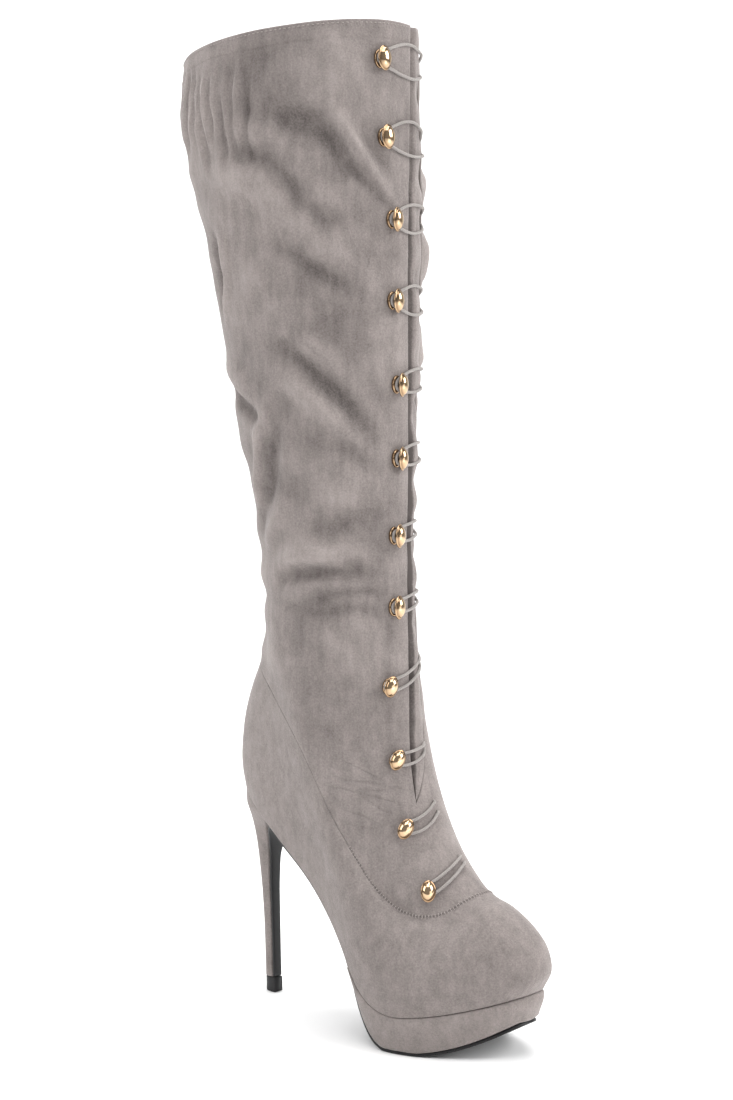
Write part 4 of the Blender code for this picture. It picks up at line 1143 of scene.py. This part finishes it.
# 27/4 brings the highest point of this cubic to one
bulge = PLATFORM_BULGE * 27 / 4 * rise ** 2 * (1 - rise)
height = ground + (lid - ground) * rise
bare = np.minimum(lid - height, height - ground)
turned = TURN_IN * np.clip(1 - bare / TURN_HEIGHT, 0, 1) ** TURN_POWER
drawn = bulge - turned
at_toe = np.clip((x - TOE_BULGE_START) / TOE_BULGE_RUN, 0, 1)
side_x = x_foot + (x - x_foot) * rise + drawn * at_toe
beside = np.maximum(drawn, SIDE_ROOM - (high - low) / 2)
side_low = low_foot + (low - low_foot) * rise - beside
side_high = high_foot + (high - high_foot) * rise + beside
up = np.stack([side_x, side_high, height], -1)
down = np.stack([side_x, side_low, height], -1)[::-1]
rings = np.concatenate([up, down]).transpose(1, 0, 2)[x_foot > PLATFORM_REAR_X]
faces = ring_faces(*rings.shape[:2])[:, ::-1]
platform = add_piece("covered_platform", rings, faces, [platform_suede], ["platform"])[0]
print("platform:", len(platform.data.polygons), "faces")

# %% [markdown]
# ## Heel
# The tall heel is a slim core covered with suede: round at the back, flat at the front where the black
# sole runs down, wide at the seat and narrow at the foot. D-shaped rings along its height give it. Its
# seat is tucked up a little into the counter and kept within the feather edge, so no light gets through
# between them.

# %% Heel
# back x, back z, front x, front z, half width
HEEL = np.array([
    (2.0, 124.3, 31.5, 107.9, 23.0), (2.8, 117.0, 26.4, 104.6, 18.5), (3.9, 108.0, 22.4, 100.0, 13.0),
    (5.2, 98.0, 20.0, 94.0, 8.8), (6.8, 86.0, 18.7, 86.0, 6.2), (8.9, 69.0, 18.0, 69.0, 4.8),
    (10.5, 51.0, 18.2, 51.0, 4.2), (11.4, 34.0, 18.6, 34.0, 4.0), (12.1, 9.3, 19.1, 9.3, 3.9),
])
HEEL_ROWS, HEEL_COLUMNS, HEEL_ROUNDNESS, HEEL_BREAST_NARROWING = 110, 48, 0.9, 0.25
HEEL_SEAT_INSET, HEEL_SEAT_LIFT, HEEL_LIFT_POWER = 0.3, 0.9, 8


def heel_rings(rows):
    """D-shaped rings from rows of back x, back z, front x, front z, half width."""
    back_x, back_z, front_x, front_z, half = rows.T[..., None]
    turn = np.linspace(0, np.pi, HEEL_COLUMNS)
    share = np.abs(np.sin(turn)) ** HEEL_ROUNDNESS
    x = front_x + (back_x - front_x) * share
    z = front_z + (back_z - front_z) * share
    y = half * np.cos(turn) * (1 - HEEL_BREAST_NARROWING * (1 - np.sin(turn)))
    return np.stack([x, y, z], -1)


heel_rows = smooth(np.arange(len(HEEL)), HEEL, np.linspace(len(HEEL) - 1, 0, HEEL_ROWS))
seat_lift = HEEL_SEAT_LIFT * np.linspace(0, 1, HEEL_ROWS) ** HEEL_LIFT_POWER
heel_rows[:, [1, 3]] += seat_lift[:, None]
rings = heel_rings(heel_rows)
seat_share = np.clip((rings[..., 0] - RINGS[0, 0]) / (RINGS[0, 2] - RINGS[0, 0]), 0, 1)
seat_edge = outline(np.arccos(1 - 2 * seat_share), RINGS[0, 2], HEEL_SEAT_INSET)
rings[..., 1] = np.clip(rings[..., 1], seat_edge[1], seat_edge[2])
faces = ring_faces(*rings.shape[:2])
heel = add_piece("covered_heel", rings, faces, [heel_suede], ["heel"])[0]
print("heel:", len(heel.data.polygons), "faces")

# %% [markdown]
# The small rubber top piece under the heel takes the wear. It carries on the heel's rings, with both of
# its edges rounded.

# %% Top piece
TOP_PIECE_FRONT, TOP_PIECE_HEIGHT, TOP_PIECE_ROUND, TOP_PIECE_STEPS = 21.6, 9.0, 0.6, 5

turn = np.linspace(0, np.pi / 2, TOP_PIECE_STEPS)
draw = TOP_PIECE_ROUND * np.concatenate([1 - np.sin(turn), 1 - np.cos(turn)])
step = TOP_PIECE_ROUND * (1 - np.cos(turn))
top_z = np.concatenate([step, TOP_PIECE_HEIGHT - step[::-1]])
back, half = HEEL[-1, 0], HEEL[-1, 4]
rings = heel_rings(np.stack([back + draw, top_z, TOP_PIECE_FRONT - draw, top_z, half - draw], -1))
faces = ring_faces(*rings.shape[:2])
top_piece = add_piece("rubber_top_piece", rings, faces, [rubber], ["top_piece"])[0]
print("top piece:", len(top_piece.data.polygons), "faces")

# %% [markdown]
# ## Buttons
# Plated metal is a metal with a warm colour and a low roughness. A field on the points mixes two tones as
# painted shade and reflection: pale on the dome and the rim, browner in the groove between them and under
# the dome. Faint wear makes the gloss a little uneven.

# %% Gold plate
GOLD_DARK, GOLD_LIGHT, GOLD_RANGE = (0.20, 0.115, 0.060), (0.66, 0.475, 0.300), (0.1, 1.1)


def gold_material():
    """Gold plate: warm metal, browner where the dome_shade field paints shade, with slightly uneven gloss."""
    material, nodes, link, shader = new_material("gold_plate", 0.16, 1.0)
    cloud = noise_node(nodes, link, stretched(nodes, link, (1.0, 1.0, 1.0)), 420.0)
    tone = arithmetic(nodes, link, "MULTIPLY_ADD", cloud, 0.3, field_node(nodes, "dome_shade"))
    link(two_tones(nodes, link, tone, GOLD_DARK, GOLD_LIGHT, *GOLD_RANGE), shader.inputs["Base Color"])
    link(arithmetic(nodes, link, "MULTIPLY_ADD", cloud, 0.10, 0.05), shader.inputs["Roughness"])
    return material


gold = gold_material()
print("buttons of", gold.name)

# %% [markdown]
# Each button is an oval dome with a rim, on a short stem with a foot plate on the suede: one profile run
# round an oval. The cord leans its stem towards the opening, most of all on the middle of the leg, where
# the domes turn further. The four lowest buttons are a tenth smaller.

# %% Buttons
BUTTON_TILT, BUTTON_WIDTH_SHARE = np.radians(15.0), 0.7
BUTTON_SIDES, STEM_BEND_LOW, STEM_BEND_HIGH = 48, 1.4, 3.2
# From the collar down
DOME_TILTS = np.radians([15, 15, 28, 28, 28, 28, 28, 28, 15, 15, 15, 15])
DOME_SIZES = [1.0] * 8 + [0.9] * 4
# half length, height above the suede
BUTTON_PROFILE = np.array([
    (0.02, -0.95), (4.5, -0.95), (4.9, -0.2), (5.0, 0.4), (4.9, 0.8), (4.6, 1.0), (4.0, 1.1), (2.4, 1.15),
    (2.1, 1.3), (2.0, 1.6), (2.0, 2.2), (2.0, 2.8), (2.0, 3.3), (2.2, 3.45), (5.9, 3.5), (6.35, 3.6),
    (6.58, 3.85), (6.6, 4.15), (6.42, 4.45), (6.05, 4.6), (5.8, 4.62), (5.62, 4.75), (5.45, 5.05), (5.1, 5.5),
    (4.5, 6.0), (3.7, 6.45), (2.7, 6.8), (1.7, 7.0), (0.8, 7.08), (0.02, 7.1),
])
# Painted shade and reflection along the profile: dark in the groove and under the dome, pale on rim and top
SHADE_HEIGHTS = [1.0, 3.4, 3.5, 4.3, 4.65, 5.6, 7.0]
SHADE_VALUES = [0.25, 0.0, 0.1, 0.65, 0.05, 0.55, 0.85]
BUTTON_SHADE = np.interp(BUTTON_PROFILE[:, 1], SHADE_HEIGHTS, SHADE_VALUES)


def local_frame(level, phi):
    """Point on the boot with unit directions along the ring, up the boot and outward."""
    along, up = tangents(np.array(level), np.array(phi))
    outward = unit(np.cross(along, up))
    sideways = unit(along)
    return surface(level, phi), sideways, np.cross(outward, sideways), outward


def button_rings(place, tilt, size):
    """Rings of the profile round a stem that bends from the foot plate's tilt to the dome's."""
    origin, sideways, upward, outward = local_frame(*place)
    radius, height = BUTTON_PROFILE.T
    lean = np.interp(height, [STEM_BEND_LOW, STEM_BEND_HIGH], [BUTTON_TILT, tilt])[:, None]
    axis = np.cos(lean) * outward + np.sin(lean) * sideways
    beside = np.cos(lean) * sideways - np.sin(lean) * outward
    middle = (axis[1:] + axis[:-1]) / 2 * np.diff(height)[:, None]
    stem = origin + height[0] * axis[0] + np.concatenate([np.zeros((1, 3)), np.cumsum(middle, 0)])
    turn = np.linspace(0, 2 * np.pi, BUTTON_SIDES, endpoint=False)[None, :, None]
    spokes = BUTTON_WIDTH_SHARE * np.cos(turn) * beside[:, None] + np.sin(turn) * upward
    return stem[:, None] + size * radius[:, None, None] * spokes


for i, (place, tilt, size) in enumerate(zip(BUTTON_PLACES, DOME_TILTS, DOME_SIZES)):
    rings = button_rings(place, tilt, size)
    button, used = add_piece(f"gold_button_{i + 1:02d}", rings, ring_faces(*rings.shape[:2]), [gold],
                             [f"button_{i + 1:02d}"])
    set_field(button, "dome_shade", BUTTON_SHADE.repeat(BUTTON_SIDES)[used])
print("buttons:", len(BUTTON_PLACES), "each up to", BUTTON_PROFILE[:, 0].max() * 2, "mm long")

# %% [markdown]
# ## Cord loops
# The loops are thin elastic with a braided cover. Two slanting families of waves cross on a map of the
# cord, whose one direction goes round it and whose other runs along it in millimetres.

# %% Braid
CORD_DARK, CORD_LIGHT = (0.20, 0.18, 0.168), (0.46, 0.42, 0.395)
BRAID_SLANT, BRAID_SCALE, BRAID_DEPTH = 0.7, 1.4, 0.00018


def braid_material():
    """Covered elastic: two slanting families of fine threads, crossed on the cord's own map."""
    material, nodes, link, shader = new_material("braided_cord", 0.8)
    uv = nodes.new("ShaderNodeUVMap")
    uv.uv_map = "cord"
    families = []
    for slant in (BRAID_SLANT, -BRAID_SLANT):
        mapping = nodes.new("ShaderNodeMapping")
        mapping.inputs["Rotation"].default_value = (0.0, 0.0, slant)
        link(uv.outputs["UV"], mapping.inputs["Vector"])
        wave = nodes.new("ShaderNodeTexWave")
        wave.inputs["Scale"].default_value = BRAID_SCALE
        link(mapping.outputs["Vector"], wave.inputs["Vector"])
        families.append(wave.outputs["Fac"])
    weave = arithmetic(nodes, link, "MAXIMUM", *families)
    link(two_tones(nodes, link, weave, CORD_DARK, CORD_LIGHT), shader.inputs["Base Color"])
    bumped(nodes, link, shader, weave, BRAID_DEPTH)
    shader.inputs["Sheen Weight"].default_value = 0.2
    return material


braid = braid_material()
print("cords of", braid.name)

# %% [markdown]
# Each loop comes out from under the edge of the inner flap, passes round the stem of a button and
# returns. The upper ones hang slack in a bow, the lower ones are pulled straight, and the two lowest go
# into the suede of the instep. A strand is worked out in level and angle, so it follows the leg and its
# folds at a set height.

# %% Strands of a loop
CORD_HEIGHT_AT_STEM, CORD_HEIGHTS_ON_FLAP, CORD_HEIGHT_OVER_STRIP = 2.3, (1.1, 1.2), 1.9
CORD_HEIGHT_AT_END, CORD_TURN_RADIUS, STRAND_POINTS = -0.9, 3.0, 40
CORD_END_TUCK, STRAND_START, STRAND_LANDING, LANDING_ROOM = 1.6, 0.12, 0.22, 0.05
SEWN_REACH, SEWN_EDGE_SHARE, STRIP_SHARE = 36.0, 0.93, 0.6


def strand(place, side, rise, spread, slack, under_flap):
    """One side of a loop, from the button's stem over the flap to its end."""
    level, phi = place
    along, up = tangents(np.array(level), np.array(phi))
    sideways, upward = local_frame(level, phi)[1:3]
    per_phi, per_level = np.linalg.norm(along), np.linalg.norm(up)
    lean, climb = up @ sideways, up @ upward
    end_level = level + (rise + side * spread) / per_level
    end_phi, edge_share = phi + SEWN_REACH / per_phi, SEWN_EDGE_SHARE
    if under_flap:
        end_level = np.clip(end_level, SLIT_END_LEVEL, COLLAR_LEVEL)
        first, last = opening_phi(end_level)
        end_phi = last[0] + CORD_END_TUCK / per_phi
        edge_share = (first[0] - phi) / (end_phi - phi)
    reach = np.array([per_phi * (end_phi - phi) + lean * (end_level - level), climb * (end_level - level)])
    across = side * np.array([-reach[1], reach[0]]) / np.linalg.norm(reach)
    share = np.linspace(STRAND_START, 1, STRAND_POINTS)
    bow = CORD_TURN_RADIUS * (1 - share) + slack * np.sin(np.pi * share)
    lift = bow * across[1] / climb
    levels = np.clip(level + (end_level - level) * share + lift, 0, COLLAR_LEVEL)
    phis = phi + (end_phi - phi) * share + (bow * across[0] - lean * lift) / per_phi
    over_strip = (1 - STRIP_SHARE) * edge_share + STRIP_SHARE
    knots = [0.0, min(STRAND_LANDING, edge_share - LANDING_ROOM), edge_share, over_strip, 1.0]
    heights = [CORD_HEIGHT_AT_STEM, *CORD_HEIGHTS_ON_FLAP, CORD_HEIGHT_OVER_STRIP, CORD_HEIGHT_AT_END]
    height = np.interp(share, knots, heights) + leg_lift(levels, phis)
    return surface(levels, phis) + height[:, None] * normal_of(levels, phis)


print("cord leaves the stem", CORD_HEIGHT_AT_STEM, "mm above the suede")

# %% [markdown]
# Two strands and a turn round the stem make the route of a loop, which a cubic through even points eases
# at the joins. A curve object with a bevel would make a tube too, but rings on arrays carry their own map
# for the braid.

# %% Route, tube and map of a cord
CORD_DIAMETER, CORD_SIDES, CORD_GIRTH = 1.7, 12, 5.3
CORD_TURN_ARC, CORD_TURN_POINTS, CORD_KNOTS, CORD_RINGS = np.radians(160.0), 24, 40, 110


def loop_path(place, rise, spread, slack, under_flap):
    """Route of a loop and its button's axis: in along one strand, round the stem, out along the other."""
    origin, sideways, upward, outward = local_frame(*place)
    axis = np.cos(BUTTON_TILT) * outward + np.sin(BUTTON_TILT) * sideways
    sideways = np.cos(BUTTON_TILT) * sideways - np.sin(BUTTON_TILT) * outward
    ends = [strand(place, side, rise, spread, slack, under_flap) for side in (1, -1)]
    pull = (ends[0][-1] + ends[1][-1]) / 2 - origin
    heading = np.arctan2(pull @ upward, pull @ sideways) + np.pi
    turn = (heading + np.linspace(-0.5, 0.5, CORD_TURN_POINTS) * CORD_TURN_ARC)[:, None]
    around = origin + CORD_TURN_RADIUS * (np.cos(turn) * sideways + np.sin(turn) * upward)
    around = around + CORD_HEIGHT_AT_STEM * axis
    path = np.concatenate([ends[0][::-1], around, ends[1]])
    run = run_along(path)
    knots = np.linspace(0, run[-1], CORD_KNOTS)
    even = np.stack([np.interp(knots, run, values) for values in path.T], -1)
    return smooth(knots, even, np.linspace(0, run[-1], CORD_RINGS)), axis


def tube(path, up, radius, sides):
    """Rings of a tube round a path, each turned so that its first spoke looks up."""
    direction = unit(np.gradient(path, axis=0))
    normal = unit(up - (direction @ up)[:, None] * direction)
    beside = np.cross(direction, normal)
    turn = np.linspace(0, 2 * np.pi, sides, endpoint=False)[None, :, None]
    return path[:, None] + radius * (np.cos(turn) * normal[:, None] + np.sin(turn) * beside[:, None])


def set_tube_map(obj, path, sides):
    """UV map of a tube, in millimetres round the cord and along it; returns the cord's length."""
    run = run_along(path)
    corner = np.empty(len(obj.data.loops), np.int32)
    obj.data.loops.foreach_get("vertex_index", corner)
    around = (corner % sides / sides).reshape(-1, 4)
    # A face that closes the ring goes on past one turn instead of back to zero
    closing = around.max(1, keepdims=True) > 0.75
    around = np.where(closing & (around < 0.25), around + 1, around)
    uv = np.stack([around.ravel() * CORD_GIRTH, run[corner // sides]], -1)
    layer = obj.data.uv_layers.new(name="cord")
    layer.data.foreach_set("uv", uv.astype(np.float32).ravel())
    return run[-1]


print("cord:", CORD_DIAMETER, "mm thick,", CORD_SIDES, "sides")

# %% [markdown]
# The twelve loops differ only in their row of the button table. The ten upper ones end under the flap.

# %% Cord loops
LOOPS_UNDER_FLAP = 10

cord_lengths = []
for i, (place, route) in enumerate(zip(BUTTON_PLACES, BUTTONS[:, 2:])):
    path, axis = loop_path(place, *route, i < LOOPS_UNDER_FLAP)
    rings = tube(path, axis, CORD_DIAMETER / 2, CORD_SIDES)
    cord = add_piece(f"cord_{i + 1:02d}", rings, ring_faces(*rings.shape[:2]), [braid],
                     [f"loop_{i + 1:02d}"])[0]
    cord_lengths.append(set_tube_map(cord, path, CORD_SIDES))
print("cords, mm:", np.round(cord_lengths, 1).tolist())

# %% [markdown]
# ## Stitches
# Thread of the suede's own colour holds the turned collar and gathers the leg into the curve of the vamp,
# where short stitches cross the seam. Each stitch is a small arched thread whose ends sink into the
# suede. A few rings are enough for one, and all the stitches of a row share one mesh.

# %% Thread and stitch
THREAD_DARK, THREAD_LIGHT = (0.20, 0.177, 0.168), (0.38, 0.338, 0.32)
STITCH_SIDES, STITCH_RINGS, STITCH_RADIUS, STITCH_TAPER = 6, 6, 0.32, 0.55
STITCH_ARCH, STITCH_SINK = 0.55, 0.35


def thread_material():
    """Matt twisted thread: slanting bands of a lighter and a darker tone on Object coordinates."""
    material, nodes, link, shader = new_material("sewing_thread", 0.8)
    wave = nodes.new("ShaderNodeTexWave")
    wave.bands_direction = "DIAGONAL"
    wave.inputs["Scale"].default_value = 700.0
    link(stretched(nodes, link, (1.0, 1.0, 1.0)), wave.inputs["Vector"])
    tone = two_tones(nodes, link, wave.outputs["Fac"], THREAD_DARK, THREAD_LIGHT)
    link(tone, shader.inputs["Base Color"])
    return material


def stitches(name, middle, along, outward, length):
    """Row of arched threads: rings along each stitch follow a half wave of height, thinner at both ends."""
    t = np.linspace(-1, 1, STITCH_RINGS)[None, :, None]
    beside = np.cross(outward, along)
    lift = STITCH_ARCH * (1 - t * t) - STITCH_SINK
    line = middle[:, None] + t * length / 2 * along[:, None] + lift * outward[:, None]
    radius = STITCH_RADIUS * (1 - STITCH_TAPER * t ** 4)
    turn = np.linspace(0, 2 * np.pi, STITCH_SIDES, endpoint=False)[None, None, :, None]
    spokes = np.cos(turn) * outward[:, None, None] + np.sin(turn) * beside[:, None, None]
    rings = line[:, :, None] + radius[..., None] * spokes
    faces = ring_faces(STITCH_RINGS, STITCH_SIDES)[:, ::-1]
    offset = np.arange(len(middle))[:, None, None] * STITCH_RINGS * STITCH_SIDES
    return add_piece(name, rings, (faces + offset).reshape(-1, 4), [thread], ())[0]


def even_row(level, phi, pitch):
    """Angles at an even pitch along a line of the boot."""
    run = run_along(surface(level, phi))
    return np.interp(np.arange(pitch / 2, run[-1], pitch), run, phi)


thread = thread_material()
print("stitches of", thread.name)

# %% [markdown]
# On the vamp the stitches lie across the seam, close together round the apron. On the collar they run
# along it, just below the turned edge and lifted by the same folds as the leg.

# %% Rows of stitches
APRON_HALF_ARC, APRON_PITCH, APRON_STITCH, APRON_STEPS = np.radians(78.0), 1.8, 2.8, 900
COLLAR_PITCH, COLLAR_STITCH, COLLAR_INSET, COLLAR_END_TURN, COLLAR_STEPS = 2.6, 1.7, 1.6, 0.05, 1500

apron_phi = np.linspace(np.pi - APRON_HALF_ARC, np.pi + APRON_HALF_ARC, APRON_STEPS)
phi = even_row(SEAM_LEVEL, apron_phi, APRON_PITCH)
level = np.full(phi.shape, SEAM_LEVEL)
outward = normal_of(level, phi)
across = unit(np.cross(outward, tangents(level, phi)[0]))
apron = stitches("apron_stitches", surface(level, phi), across, outward, APRON_STITCH)

collar_level = COLLAR_LEVEL - COLLAR_INSET / COLLAR_MM_PER_LEVEL
collar_ends = np.concatenate(opening_phi(collar_level))
collar_phi = np.linspace(collar_ends[1] - 2 * np.pi + COLLAR_END_TURN, collar_ends[0] - COLLAR_END_TURN,
                         COLLAR_STEPS)
phi = even_row(collar_level, collar_phi, COLLAR_PITCH)
level = np.full(phi.shape, collar_level)
outward = normal_of(level, phi)
middle = surface(level, phi) + leg_lift(level, phi)[:, None] * outward
collar = stitches("collar_stitches", middle, unit(tangents(level, phi)[0]), outward, COLLAR_STITCH)
print("stitch faces:", len(apron.data.polygons), "on the vamp,", len(collar.data.polygons), "on the collar")

# %% [markdown]
# ## Floor
# The photograph shows a white studio: a pale floor that runs up behind without an edge. A sheet of paper
# on a large curve gives that. It stands square to the line of sight, so no corner of it comes into the
# picture.

# %% Floor
PAPER_DARK, PAPER_LIGHT = (0.93, 0.93, 0.93), (0.96, 0.96, 0.96)
FLOOR_FRONT, FLOOR_REACH, FLOOR_CURVE, FLOOR_HALF_WIDTH, PAPER_HEIGHT = -3.0, 1.6, 0.5, 4.0, 4.0
CURVE_STEPS = 24


def floor_material():
    """Matt white studio paper with a hardly visible cloudiness."""
    material, nodes, link, shader = new_material("studio_paper", 0.9)
    cloud = noise_node(nodes, link, stretched(nodes, link, (1.0, 1.0, 1.0)), 3.0)
    link(two_tones(nodes, link, cloud, PAPER_DARK, PAPER_LIGHT), shader.inputs["Base Color"])
    shader.inputs["Specular IOR Level"].default_value = 0.1
    return material


turn = np.linspace(0, np.pi / 2, CURVE_STEPS)
run = np.concatenate([[FLOOR_FRONT], FLOOR_REACH + FLOOR_CURVE * np.sin(turn), [FLOOR_REACH + FLOOR_CURVE]])
climb = np.concatenate([[0.0], FLOOR_CURVE * (1 - np.cos(turn)), [PAPER_HEIGHT]])
sideways = np.array([-FLOOR_HALF_WIDTH, FLOOR_HALF_WIDTH])
sheet = sideways[None, :, None] * to_the_right - run[:, None, None] * towards_viewer
sheet[..., 2] += climb[:, None]
floor_faces = quads(np.arange(len(run) * 2).reshape(-1, 2))[:, ::-1]
mesh = bpy.data.meshes.new("studio_floor")
mesh.from_pydata(sheet.reshape(-1, 3).tolist(), [], floor_faces.tolist())
mesh.materials.append(floor_material())
mesh.shade_smooth()
floor = bpy.data.objects.new("studio_floor", mesh)
bpy.context.scene.collection.objects.link(floor)
print("floor:", len(floor_faces), "faces")

# %% [markdown]
# ## Light
# The studio's lights are large and soft. Two broad ones from the right and the left give the form, one
# from above evens them out, one behind keeps the paper white, and a weak one near the floor lifts the
# toe. A pale world fills the shadows. Many small lamps would do the same with harder shadows.

# %% Light
LIGHT_AIM, WORLD_STRENGTH = np.array([0.0, 0.0, 0.28]), 0.34
# name, turn round the boot in degrees, height, distance, size, power in watts
LIGHTS = [
    ("right_light", 22.0, 1.2, 1.6, 1.2, 28.0),
    ("left_light", -128.0, 1.1, 1.7, 1.2, 18.0),
    ("top_light", -50.0, 2.2, 0.5, 1.6, 28.0),
    ("paper_light", 130.0, 2.3, 0.9, 1.6, 40.0),
    ("low_light", -5.0, 0.12, 0.75, 0.5, 1.2),
]


def soft_light(name, turn, height, distance, size, power):
    """Square soft light on a circle round the boot, aimed at the middle of the leg."""
    light = bpy.data.objects.new(name, bpy.data.lights.new(name, "AREA"))
    light.data.shape = "SQUARE"
    light.data.size = size
    light.data.energy = power
    turn = np.radians(turn)
    place = np.array([np.cos(turn), np.sin(turn), 0.0]) * distance + (0, 0, height)
    light.location = place
    back = unit(place - LIGHT_AIM)
    light.rotation_euler = (np.arccos(back[2]), 0.0, np.arctan2(back[1], back[0]) + np.pi / 2)
    bpy.context.scene.collection.objects.link(light)
    return light


lights = [soft_light(*row) for row in LIGHTS]
world = bpy.data.worlds.new("studio")
world.use_nodes = True
background = world.node_tree.nodes["Background"]
background.inputs["Color"].default_value = (1.0, 1.0, 1.0, 1.0)
background.inputs["Strength"].default_value = WORLD_STRENGTH
bpy.context.scene.world = world
bpy.context.scene.view_settings.view_transform = "Standard"
print("lights:", [light.name for light in lights])
